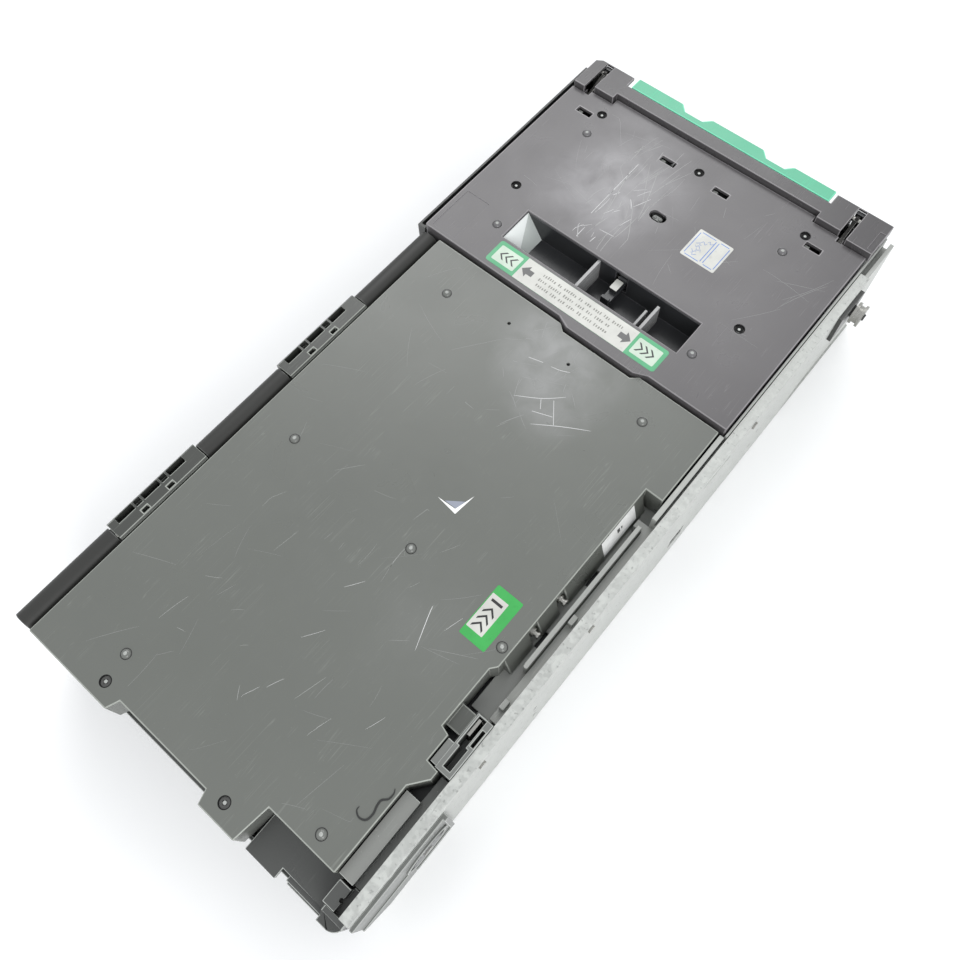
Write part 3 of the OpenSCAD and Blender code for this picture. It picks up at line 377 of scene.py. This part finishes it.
def edge_room(edge):
    """The shortest crosswise edge at either end, which limits how far this edge can be rounded."""
    along = (edge.verts[1].co - edge.verts[0].co).normalized()
    room = 1.0
    for vert in edge.verts:
        for other in vert.link_edges:
            if other is edge:
                continue
            step = other.other_vert(vert).co - vert.co
            if step.length > 1e-9 and abs(step.normalized().dot(along)) < 0.9:
                room = min(room, step.length)
    return room


def even_normals(mesh):
    """Corner normals from the faces next to the rounding, so flat faces stay flat in the light."""
    kept, rounding = {}, {}
    for face in mesh.polygons:
        store = rounding if face.material_index == 1 else kept
        for vertex in face.vertices:
            store.setdefault(vertex, []).append(face.normal * face.area)
    corners = []
    for face in mesh.polygons:
        for vertex in face.vertices:
            reach = math.cos(ROUND_REACH if face.material_index == 1 else SHARP)
            total = Vector()
            for source in (kept, rounding):
                if total.length == 0 and (source is kept or face.material_index == 1):
                    near = (n for n in source.get(vertex, ()) if n.dot(face.normal) >= reach * n.length)
                    total = sum(near, Vector())
            corners.append(total.normalized() if total.length else face.normal)
    mesh.normals_split_custom_set(corners)


def soften(node, width_mm, segments=2):
    """A copy of a CAD node with rounded edges, which stands for it."""
    width = width_mm * MM
    bm = bmesh.new()
    bm.from_mesh(frame["nodes"][node].data)
    bmesh.ops.remove_doubles(bm, verts=bm.verts, dist=WELD)
    bmesh.ops.dissolve_limit(bm, angle_limit=FLAT, verts=bm.verts, edges=bm.edges)
    bmesh.ops.triangulate(bm, faces=bm.faces, quad_method="BEAUTY", ngon_method="BEAUTY")
    weight = bm.edges.layers.float.new("bevel_weight_edge")
    for edge in bm.edges:
        rim = edge.calc_length() < SHORT_EDGE
        if not rim and len(edge.link_faces) == 2 and edge.calc_face_angle(0.0) > SHARP:
            share = 1.0 if edge.calc_face_angle_signed(0.0) > 0 else INNER_SHARE
            edge[weight] = share * min(1.0, ROOM_SHARE * edge_room(edge) / width)
    material = OWN_MATERIAL.get(node, MATERIALS[SLOT_OF[node]])
    piece = make_piece("look_" + node, bm, BODY_OF[node], material)
    bevel = piece.modifiers.new("rounding", "BEVEL")
    bevel.limit_method = "WEIGHT"
    bevel.width = width
    bevel.segments = segments
    bevel.use_clamp_overlap = False
    # The rounding faces take the lighter copy as a painted highlight.
    piece.data.materials.append(HIGHLIGHT_AND_TAB_PLASTIC.get(SLOT_OF[node], MATERIALS[SLOT_OF[node]]))
    bevel.material = 1
    piece.data = bpy.data.meshes.new_from_object(piece.evaluated_get(bpy.context.evaluated_depsgraph_get()))
    piece.modifiers.clear()
    even_normals(piece.data)
    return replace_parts(piece, node)


def add_prism(bm, outline, low, high):
    """A flat piece over an outline in deck millimetres, between two heights."""
    bottom = [bm.verts.new(at(x, y, low)) for x, y in outline]
    top = [bm.verts.new(at(x, y, high)) for x, y in outline]
    bm.faces.new(list(reversed(bottom)))
    bm.faces.new(top)
    for i in range(len(outline)):
        j = (i + 1) % len(outline)
        bm.faces.new((bottom[i], bottom[j], top[j], top[i]))


def rounded_box(x0, x1, y0, y1, radius=1.0, steps=5):
    """The outline of a rectangle with round corners."""
    points = []
    corners = ((x1, y1, 0), (x0, y1, 90), (x0, y0, 180), (x1, y0, 270))
    for cx, cy, start in corners:
        mx = cx - radius if cx == x1 else cx + radius
        my = cy - radius if cy == y1 else cy + radius
        for i in range(steps + 1):
            a = math.radians(start + 90 * i / steps)
            points.append((mx + radius * math.cos(a), my + radius * math.sin(a)))
    return points


def add_ribbon(bm, points, width, low, high):
    """A thin strip along points in deck millimetres, tapering to its two ends."""
    left, right = [], []
    for i, (x, y) in enumerate(points):
        ahead = points[min(i + 1, len(points) - 1)]
        behind = points[max(i - 1, 0)]
        d = Vector((ahead[0] - behind[0], ahead[1] - behind[1])).normalized()
        half = width / 2 * max(0.12, math.sin(math.pi * (i + 0.5) / len(points)) ** 0.5)
        left.append((x - d.y * half, y + d.x * half))
        right.append((x + d.y * half, y - d.x * half))
    add_prism(bm, right + left[::-1], low, high)


def add_lathe(bm, centre, profile, sides=40):
    """A turned piece about a vertical line. The profile is (radius, height) pairs from the rim in."""
    rings = []
    for radius, height in profile:
        if radius <= 0:
            rings.append([bm.verts.new(at(centre[0], centre[1], height))])
            continue
        ring = []
        for i in range(sides):
            a = 2 * math.pi * i / sides
            x, y = centre[0] + radius * math.cos(a), centre[1] + radius * math.sin(a)
            ring.append(bm.verts.new(at(x, y, height)))
        rings.append(ring)
    for outer, inner in zip(rings, rings[1:]):
        for i in range(sides):
            j = (i + 1) % sides
            if len(inner) == 1:
                bm.faces.new((outer[i], outer[j], inner[0]))
            else:
                bm.faces.new((outer[i], outer[j], inner[j], inner[i]))


SOFTENED = {
    "lower_door": 0.9, "upper_door": 0.9, "far_strip": 0.7, "hinge_barrels": 0.6, "release_bar": 0.8,
    "right_side_frame": 0.5, "near_end_frame": 0.6, "latch_housing": 0.6, "door_latch": 0.25,
    "pocket_tray": 0.6, "release_lever": 0.4, "right_side_plate": 0.35, "corner_cover": 0.6,
    "left_side_frame": 0.6, "far_end_frame": 0.5, "side_roller_bracket": 0.6, "side_roller": 0.35,
    "bottom_cover": 0.35, "upper_hinge_arms": 0.35, "recess_studs": 0.3, "lower_door_screws": 0.2,
    "upper_door_screws": 0.2, "chassis_screws": 0.35, "input_gear": 0.2, "lower_door_guide": 0.3,
    "upper_door_guide": 0.3, "lower_path_plate": 0.3, "upper_path_plate": 0.3,
}


def dress_nodes():
    """Softened copies for the nodes in view, and a material on every other node."""
    for node, width in SOFTENED.items():
        soften(node, width)
    for node, source in frame["nodes"].items():
        if node not in SOFTENED:
            source.data.materials.clear()
            source.data.materials.append(MATERIALS[SLOT_OF[node]])


FLOOR_REACH = 6.0
FLOOR_GAP = 0.0005
WORLD_COLOUR = (0.96, 0.98, 1.0, 1.0)
WORLD_STRENGTH = 0.92
LIGHT_POWER = 32.0
SENSOR_MM = 36.0
LENS_MM = 35.01
SHIFT_Y = -0.052
CAMERA_PLACE = (0.22114, -0.24797, 0.78132)
CAMERA_PITCH, CAMERA_YAW, CAMERA_ROLL = 64.326, -43.149, -3.070


def stage_set():
    """The pale floor under the part."""
    bm = bmesh.new()
    bmesh.ops.create_grid(bm, x_segments=2, y_segments=2, size=FLOOR_REACH)
    mesh = bpy.data.meshes.new("floor")
    bm.to_mesh(mesh)
    bm.free()
    floor = bpy.data.objects.new("floor", mesh)
    floor.location.z = CAD_BOUNDS[0].z - FLOOR_GAP
    SCENE.collection.objects.link(floor)
    s = Shader("floor_paint", Specular_IOR_Level=0.2)
    tone = s.spread(s.noise(0.8, 2.0), 0.3, 0.7)
    paint = s.blend(tone, (0.93, 0.93, 0.93, 1.0), (0.97, 0.97, 0.97, 1.0))
    mesh.materials.append(s.finish(paint, 0.8, s.bump(s.noise(90.0), 0.02, 0.0005)))


def area_light(name, place, aim, size):
    """A soft rectangular light at a place, turned to a point."""
    data = bpy.data.lights.new(name, "AREA")
    data.shape = "RECTANGLE"
    data.size, data.size_y = size
    data.energy = LIGHT_POWER
    light = bpy.data.objects.new(name, data)
    light.location = place
    light.rotation_euler = (Vector(aim) - Vector(place)).to_track_quat("-Z", "Y").to_euler()
    SCENE.collection.objects.link(light)


def light_set():
    """An even pale surround with two large soft lights."""
    world = bpy.data.worlds.new("studio")
    world.use_nodes = True
    background = world.node_tree.nodes["Background"]
    background.inputs["Color"].default_value = WORLD_COLOUR
    background.inputs["Strength"].default_value = WORLD_STRENGTH
    SCENE.world = world
    area_light("key", (-1.2, 1.6, 2.4), (0.0, 0.0, 0.1), (2.2, 1.4))
    area_light("fill", (1.9, -1.2, 1.7), (0.1, 0.0, 0.05), (1.6, 1.6))


def camera_set():
    """The camera at the photo's view of the deck."""
    pitch, yaw, roll = (math.radians(a) for a in (CAMERA_PITCH, CAMERA_YAW, CAMERA_ROLL))
    turn = Matrix.Rotation(-yaw, 3, "Z") @ Matrix.Rotation(-pitch - math.pi / 2, 3, "X")
    turn = turn @ Matrix.Rotation(-roll, 3, "Z") @ Matrix.Rotation(math.pi, 3, "X")
    data = bpy.data.cameras.new("camera")
    data.sensor_width = SENSOR_MM
    data.lens = LENS_MM
    data.shift_y = SHIFT_Y
    data.clip_start, data.clip_end = 0.02, 50.0
    camera = bpy.data.objects.new("camera", data)
    camera.matrix_world = Matrix.Translation(CAMERA_PLACE) @ turn.to_4x4()
    SCENE.collection.objects.link(camera)
    SCENE.camera = camera


# ---------- labels, stickers and marks ----------

LIFT = 0.02
FILM = 0.14
LAYER = 0.05
MARK_LOW, MARK_HIGH = 0.008, 0.02


def label_piece(name, outlines, material, body, base, layer=0):
    """Flat film over outlines, at a height and in a layer of the label."""
    bm = bmesh.new()
    for outline in outlines:
        add_prism(bm, outline, base + LIFT + layer * LAYER, base + FILM + layer * LAYER)
    return make_piece(name, bm, body, material)


def chevron(cx, cy, size, way):
    """An angle mark pointing along +Y (way 1) or -Y (way -1)."""
    foot, tip, t = cy - way * size * 0.45, cy + way * size * 0.55, way * size * 0.42
    return [(cx - size, foot), (cx, tip), (cx + size, foot),
            (cx + size, foot - t), (cx, tip - t), (cx - size, foot - t)][::way]


def bar_mark(x0, x1, y0, y1):
    """The outline of a plain rectangle."""
    return [(x0, y0), (x1, y0), (x1, y1), (x0, y1)]


def side_chevron(cx, cy, size, way):
    """An angle mark pointing along +X (way 1) or -X (way -1)."""
    return [(x, y) for y, x in chevron(cy, cx, size, way)]


def lower_label():
    """The green label of the lower door, with chevrons and a bar in place of its word."""
    label_piece("lower_label", [rounded_box(234.5, 257.5, 196, 240, 1.2)], GREEN_FILM, "lower_door", 0)
    field = rounded_box(235.2, 249.6, 203, 233, 0.5)
    label_piece("lower_label_field", [field], WHITE_FILM, "lower_door", 0, 1)
    marks = [chevron(242.4, 209 + 6.2 * i, 4.8, 1) for i in range(3)] + [bar_mark(237.6, 247.2, 227.5, 229.6)]
    label_piece("lower_label_marks", marks, BLACK_INK, "lower_door", 0, 2)


def upper_label():
    """The long label of the upper door, with chevrons, arrows and rows of bars in place of its words."""
    top = UPPER_TOP
    label_piece("upper_label", [rounded_box(44.4, 218, 448.8, 472.7, 2.6)], MINT_FILM, "upper_door", top)
    field = rounded_box(74, 188.6, 448.9, 472.6, 0.4)
    label_piece("upper_label_field", [field], WHITE_FILM, "upper_door", top, 1)
    ends = [rounded_box(48, 71, 452.6, 469, 1.2), rounded_box(191.5, 214.5, 452.6, 469, 1.2)]
    label_piece("upper_label_ends", ends, PALE_FILM, "upper_door", top, 1)
    marks = []
    for middle, way in ((59.5, -1), (203, 1)):
        marks += [side_chevron(middle + way * 5.4 * (i - 1), 460.8, 4.4, way) for i in range(3)]
    label_piece("upper_label_marks", marks, BLACK_INK, "upper_door", top, 2)
    arrows = []
    for tip, way in ((75.3, 1), (187.7, -1)):
        neck, tail = tip + way * 6.2, tip + way * 11.5
        arrow = [(tip, 460.8), (neck, 466.8), (neck, 463.5), (tail, 463.5),
                 (tail, 458.1), (neck, 458.1), (neck, 454.8)]
        arrows.append(arrow[::-way])
    label_piece("upper_label_arrows", arrows, GREY_INK, "upper_door", top, 2)
    rng = random.Random(11)
    rows = []
    for y in (453.6, 459.4, 465.2):
        x = 92 + rng.uniform(0, 6)
        while x < 168:
            for _ in range(rng.randint(2, 6)):
                low, high = rng.uniform(0, 0.6), rng.uniform(2.3, 3.2)
                rows.append(bar_mark(x, x + rng.uniform(0.8, 1.3), y + low, y + high))
                x += 2.2
            x += 2.0
    label_piece("upper_label_rows", rows, PALE_INK, "upper_door", top, 2)


def ring_outline(x0, x1, y0, y1, radius, band):
    """Four strips that frame a field."""
    return [bar_mark(x0 + radius, x1 - radius, y0, y0 + band),
            bar_mark(x0 + radius, x1 - radius, y1 - band, y1),
            bar_mark(x0, x0 + band, y0 + radius, y1 - radius),
            bar_mark(x1 - band, x1, y0 + radius, y1 - radius)]


def white_sticker():
    """The small white sticker with two blue frames and a scribble."""
    top = UPPER_TOP
    label_piece("sticker", [rounded_box(167.5, 201, 557, 589, 1.5)], WHITE_FILM, "upper_door", top)
    frames = ring_outline(169.5, 186, 559, 587, 1.5, 0.7) + ring_outline(188, 199.2, 559, 587, 1.5, 0.7)
    label_piece("sticker_frames", frames, BLUE_INK, "upper_door", top, 1)
    rng = random.Random(4)
    bm = bmesh.new()
    for i in range(7):
        x, y = 172 + rng.uniform(0, 9), 563 + 3 * i
        points = [(x + 1.3 * k, y + 1.4 * math.sin(2.1 * k + i)) for k in range(5)]
        add_ribbon(bm, points, 0.5, top + FILM + 0.02, top + FILM + 0.08)
    make_piece("sticker_pen", bm, "upper_door", BLUE_INK)


def leaning(y, depth, proud):
    """A point on the leaning wall of the long recess, proud of it by a little."""
    return at(RECESS_X + RECESS_LEAN * (depth - 1.5) / 24.5 + proud, y, proud * 0.25 - depth)


def recess_sticker():
    """A pale sticker on the leaning wall, with a small generic mark on it."""
    for name, ends, low, proud, film_used in (
        ("recess_sticker", (312, 352), (2.4, 22.0), 0.14, PAPER),
        ("recess_mark", (330, 333), (8.0, 13.0), 0.2, GREY_INK),
        ("recess_mark_2", (334.5, 336), (9.0, 12.0), 0.2, GREY_INK)):
        bm = bmesh.new()
        corners = [(ends[0], low[0]), (ends[1], low[0]), (ends[1], low[1]), (ends[0], low[1])]
        near = [bm.verts.new(leaning(y, depth, 0.03)) for y, depth in corners]
        out = [bm.verts.new(leaning(y, depth, proud)) for y, depth in corners]
        bm.faces.new(out)
        bm.faces.new(near[::-1])
        for i in range(4):
            j = (i + 1) % 4
            bm.faces.new((near[i], near[j], out[j], out[i]))
        bmesh.ops.recalc_face_normals(bm, faces=bm.faces)
        make_piece(name, bm, "lower_door", film_used)


def film_scrap():
    """A folded scrap of clear film stuck to the lower door."""
    fold = [(156, 262.5), (175, 260.5), (177, 280.5), (172.5, 263.5)]
    label_piece("film_scrap_fold", [fold], PAPER, "lower_door", 0)
    label_piece("film_scrap", [[(162, 263.5), (172.5, 264), (175, 273)]], SCRAP_FILM, "lower_door", 0)


def lever_cap():
    """The black block on the release lever and the pale square on top of it."""
    low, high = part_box("release_lever")
    a, b = (low - DECK) / MM, (high - DECK) / MM
    for name, heights, material in (
        ("lever_block", (b.z - 5.2, b.z - 0.6), MATERIALS["black_plastic"]),
        ("lever_cap", (b.z - 0.6, b.z), WHITE_FILM)):
        bm = bmesh.new()
        add_prism(bm, rounded_box(a.x + 0.4, b.x - 0.6, b.y - 24.2, b.y - 13.4, 0.6), *heights)
        make_piece(name, bm, "release_latch", material)


def pocket_ribs():
    """Painted reflections on the cross ribs in the hand pocket, as thin pale skins."""
    low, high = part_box("pocket_tray")
    y0, y1 = (low - DECK).y / MM + 2.5, (high - DECK).y / MM - 2.5
    foot = (low - DECK).z / MM + 2
    bm = bmesh.new()
    for x0, x1, shorter, head in ((118, 120.5, 0, 0), (176.5, 178.5, 12, -6), (183, 185.5, 5, -2)):
        far_end = y1 - max(shorter, 0.02) + (0.04 if shorter else 0.0)
        add_prism(bm, bar_mark(x0 - 0.04, x1 + 0.04, y0 + 0.02, far_end), foot + 0.02, head + 0.04)
    make_piece("pocket_ribs", bm, "upper_door", RIB_REFLECTION)


def pocket_ramp():
    """Painted reflections on the ramp at the hinge side of the hand pocket: a bright facet and a dimmer one.
    """
    low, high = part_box("pocket_tray")
    x0, y0 = (low - DECK).x / MM + 2.5, (low - DECK).y / MM + 2.5
    y1, foot = (high - DECK).y / MM - 2.5, (low - DECK).z / MM + 2
    head, run, proud = UPPER_TOP - 3, 15.5, 0.5
    near, far = y0 + 0.02, y1 - 0.02
    top_near, top_far = (x0, near, head), (x0, far, head)
    low_near, low_far = (x0 + run, near, foot), (x0 + run, far, foot)
    for name, corners, material in (("pocket_ramp", (top_near, top_far, low_near), RAMP_REFLECTION_BRIGHT),
                                    ("pocket_ramp_side", (top_far, low_far, low_near), RAMP_REFLECTION_DIM)):
        bm = bmesh.new()
        under = [bm.verts.new(at(x + 0.02, y, z + 0.02)) for x, y, z in corners]
        over = [bm.verts.new(at(x + proud, y, z + 0.02)) for x, y, z in corners]
        bm.faces.new(under)
        bm.faces.new(over[::-1])
        for i in range(3):
            j = (i + 1) % 3
            bm.faces.new((under[j], under[i], over[i], over[j]))
        bmesh.ops.recalc_face_normals(bm, faces=bm.faces)
        make_piece(name, bm, "upper_door", material)


def slot_backs():
    """Dark walls that close the far ends of the hinge arm slots."""
    arms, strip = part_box("upper_hinge_arms"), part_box("far_strip")
    start, end = (arms[1] - DECK).y / MM + 0.5, (strip[1] - DECK).y / MM - 1.3
    head = (strip[1] - DECK).z / MM - 2.6
    if end - start > 0.6:
        bm = bmesh.new()
        for x in (-2.4, 264.4):
            add_prism(bm, bar_mark(x - 3.9, x + 3.9, start, end), -8.9, head)
        make_piece("slot_backs", bm, BODY_OF["far_strip"], MATERIALS["black_plastic"])


def slot_inserts():
    """Steel tabs that show in the rectangular slots, and the clip under the oval window."""
    bm = bmesh.new()
    for x in (9.7, 103, 158.7, 251.2):
        add_prism(bm, rounded_box(x - 7.4, x - 3.2, 628.8, 634.2, 0.4), -1.2, -0.4)
    make_piece("slot_tabs", bm, "upper_door", HIGHLIGHT_AND_TAB_PLASTIC["frame_plastic"])
    bm = bmesh.new()
    add_prism(bm, rounded_box(127, 136, 574.2, 578.8, 2), 0.2, 1.2)
    for x in (129, 134):
        add_lathe(bm, (x, 576.5), ((1.5, 1.2), (1.5, 1.9), (1.1, 2.2), (0.5, 2.2), (0, 1.7)), 24)
    make_piece("window_clip", bm, "upper_door", MATERIALS["frame_plastic"])


def smooth_path(corners, steps=8):
    """A smooth line through points, by Catmull-Rom."""
    points = []
    ends = [corners[0]] + list(corners) + [corners[-1]]
    for i in range(len(corners) - 1):
        p0, p1, p2, p3 = (Vector(p) for p in ends[i:i + 4])
        for k in range(steps):
            t = k / steps
            a = 2 * p1 + (p2 - p0) * t + (2 * p0 - 5 * p1 + 4 * p2 - p3) * t * t
            points.append(tuple((a + (3 * p1 - p0 - 3 * p2 + p3) * t * t * t) / 2))
    points.append(tuple(corners[-1]))
    return points


def curled_groove():
    """The curled mark near the near right corner, as a thin raised line."""
    bm = bmesh.new()
    path = smooth_path([(260, 68), (260.5, 65), (264.5, 63), (269, 65), (270, 70.5), (268.5, 76), (268.5, 80),
                        (271.5, 83.5), (272, 88), (270.5, 91)])
    add_ribbon(bm, path, 1.5, 0.01, 0.4)
    make_piece("curled_groove", bm, "lower_door", CORD)


def scratches(name, body, material, top, seed, count, area, lengths, width, lean):
    """Random thin scuffs over an area. lean is the mean and spread of their direction in degrees."""
    rng = random.Random(seed)
    bm = bmesh.new()
    for _ in range(count):
        x, y = rng.uniform(*area[0]), rng.uniform(*area[1])
        turn = math.radians(rng.gauss(*lean))
        length, bend = rng.uniform(*lengths), rng.uniform(-0.12, 0.12)
        points = []
        for k in range(9):
            s = length * (k / 8 - 0.5)
            px = x + s * math.cos(turn) - bend * s * s / length * math.sin(turn)
            py = y + s * math.sin(turn) + bend * s * s / length * math.cos(turn)
            points.append((min(max(px, area[0][0]), area[0][1]), min(max(py, area[1][0]), area[1][1])))
        spans = [math.dist(a, b) for a, b in zip(points, points[1:])]
        if min(spans) > 0.05:
            add_ribbon(bm, points, width * rng.uniform(0.5, 1.4), top + MARK_LOW, top + MARK_HIGH)
    make_piece(name, bm, body, material)


LOWER_SCREWS = ((70, 12.4), (191, 12.4))
UPPER_SCREWS = ((24.5, 638.5), (131.5, 638.5), (239.5, 638.5), (15.5, 526), (248, 526))


def screw_details():
    """Painted shade as dark rims in the counterbores and dark discs on the upper heads, and painted glints at
    the middles of the cross recesses.
    """
    for body, top, places in (("lower_door", 0, LOWER_SCREWS), ("upper_door", UPPER_TOP, UPPER_SCREWS)):
        head = (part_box(body + "_screws")[1] - DECK).z / MM
        rims, glints = bmesh.new(), bmesh.new()
        for centre in places:
            rim = ((4.6, top - 0.1), (4.6, top + 0.04), (3.9, top + 0.05), (3.9, top - 0.1))
            add_lathe(rims, centre, rim)
            if body == "upper_door":
                disc = ((3.4, head + 0.01), (3.3, head + 0.06), (1.2, head + 0.06), (1.2, head))
                add_lathe(rims, centre, disc)
            # Painted glints at the middles of the heads.
            add_lathe(glints, centre, ((1.3, head + 0.01), (1.1, head + 0.13), (0, head + 0.18)), 16)
        make_piece(body + "_screw_rims", rims, body, SCREW_SHADE)
        make_piece(body + "_screw_glints", glints, body, HIGHLIGHT_AND_TAB_PLASTIC["frame_plastic"])


def all_scratches():
    """Scuffs of both doors, the rub marks that the photo shows in single places, and two painted glint arcs
    near the seam.
    """
    top = UPPER_TOP
    scratches("scratches_1", "lower_door", SCUFF_PALE, 0, 3, 46,
              ((8, 262), (20, 430)), (8, 42), 0.16, (62, 40))
    scratches("scratches_2", "lower_door", SCUFF, 0, 5, 18,
              ((60, 200), (40, 250)), (6, 26), 0.2, (75, 25))
    scratches("scratches_3", "upper_door", SCUFF_PALE, top, 9, 40,
              ((14, 284), (516, 645)), (8, 50), 0.2, (50, 45))
    scratches("scratches_4", "upper_door", SCUFF, top, 12, 40,
              ((74, 126), (516, 648)), (6, 60), 0.3, (86, 14))
    scratches("scratches_5", "upper_door", WHITE_SCUFF_AND_GLINT, top, 21, 16,
              ((84, 116), (516, 600)), (3, 22), 0.4, (80, 24))
    rubs_and_glints = (((145, 365), (164, 377), (178, 390)), ((171, 354), (192, 368), (211, 379)),
            ((172.5, 381.5), (185.5, 364.5)), ((164, 376), (169, 369)), ((165, 363.5), (180.5, 369.5)),
            # The next two arcs are painted glints; the other lines are rub marks.
            ((132.5, 399.5), (144.5, 403)), ((151.5, 404), (159.5, 406), (167, 409.5)),
            ((220, 166.5), (211.5, 189), (208.5, 198)))
    bm = bmesh.new()
    for points in rubs_and_glints:
        path = smooth_path(points) if len(points) > 2 else points
        add_ribbon(bm, path, 0.45, MARK_LOW, MARK_HIGH)
    make_piece("rub_marks_and_glints", bm, "lower_door", WHITE_SCUFF_AND_GLINT)
    bm = bmesh.new()
    add_ribbon(bm, [(85, 543), (84.5, 612.5)], 0.5, top + MARK_LOW, top + MARK_HIGH)
    make_piece("rub_mark_upper", bm, "upper_door", WHITE_SCUFF_AND_GLINT)
    scratches("scratches_6", "lower_door", WHITE_SCUFF_AND_GLINT, 0, 23, 7,
              ((150, 235), (60, 205)), (6, 22), 0.22, (70, 14))
    scratches("scratches_7", "lower_door", SCUFF_PALE, 0, 27, 26,
              ((120, 190), (330, 436)), (4, 20), 0.3, (75, 60))


RIVET_PROFILE = ((4.7, -0.2), (4.7, 0.02), (3.7, 0.06), (3.5, 0.7), (3.1, 1.25), (2.5, 1.7), (1.7, 2.0),
                 (1.1, 2.08), (0.8, 2.3), (0.4, 2.4), (0, 2.42))
# Flush dark rings round the rivet heads, as painted shade.
SHADE_RING_PROFILE = ((4.3, -0.2), (4.3, 0.07), (3.65, 0.08), (3.65, -0.2))
# Pale caps on the dome middles, as painted highlights.
GLINT_PROFILE = ((1.5, 2.0), (1.1, 2.14), (0.8, 2.34), (0.4, 2.44), (0, 2.46))


def rivet_heads(node, top, places):
    """Domed rivet heads for a CAD node, with painted shade in dark rings round them and painted highlights on
    their middles.
    """
    bm = bmesh.new()
    for centre in places:
        add_lathe(bm, centre, [(r, top + h) for r, h in RIVET_PROFILE])
    slot = SLOT_OF[node]
    piece = make_piece("look_" + node, bm, BODY_OF[node], RIVET_PLASTIC[slot], ROUND_REACH)
    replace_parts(piece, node)
    bm = bmesh.new()
    for centre in places:
        add_lathe(bm, centre, [(r, top + h) for r, h in SHADE_RING_PROFILE])
    make_piece(node + "_shade", bm, BODY_OF[node], RIVET_RING_SHADE)
    bm = bmesh.new()
    for centre in places:
        add_lathe(bm, centre, [(r, top + h) for r, h in GLINT_PROFILE], 20)
    make_piece(node + "_glint", bm, BODY_OF[node], HIGHLIGHT_AND_TAB_PLASTIC["frame_plastic"])


LOWER_RIVETS = ((66.5, 34), (253, 40), (39, 227.5), (168, 219.5), (265, 207), (41.5, 403.5), (236.5, 410.5))
UPPER_RIVETS = ((27.5, 612), (233.5, 612), (30, 482.5), (232, 482.5))


def build():
    """The whole picture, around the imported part."""
    camera_set()
    light_set()
    stage_set()
    dress_nodes()
    rivet_heads("lower_door_rivets", 0, LOWER_RIVETS)
    rivet_heads("upper_door_rivets", UPPER_TOP, UPPER_RIVETS)
    lower_label()
    upper_label()
    white_sticker()
    recess_sticker()
    film_scrap()
    screw_details()
    lever_cap()
    pocket_ramp()
    pocket_ribs()
    slot_backs()
    slot_inserts()
    curled_groove()
    all_scratches()
    SCENE.view_settings.view_transform = "Standard"


build()
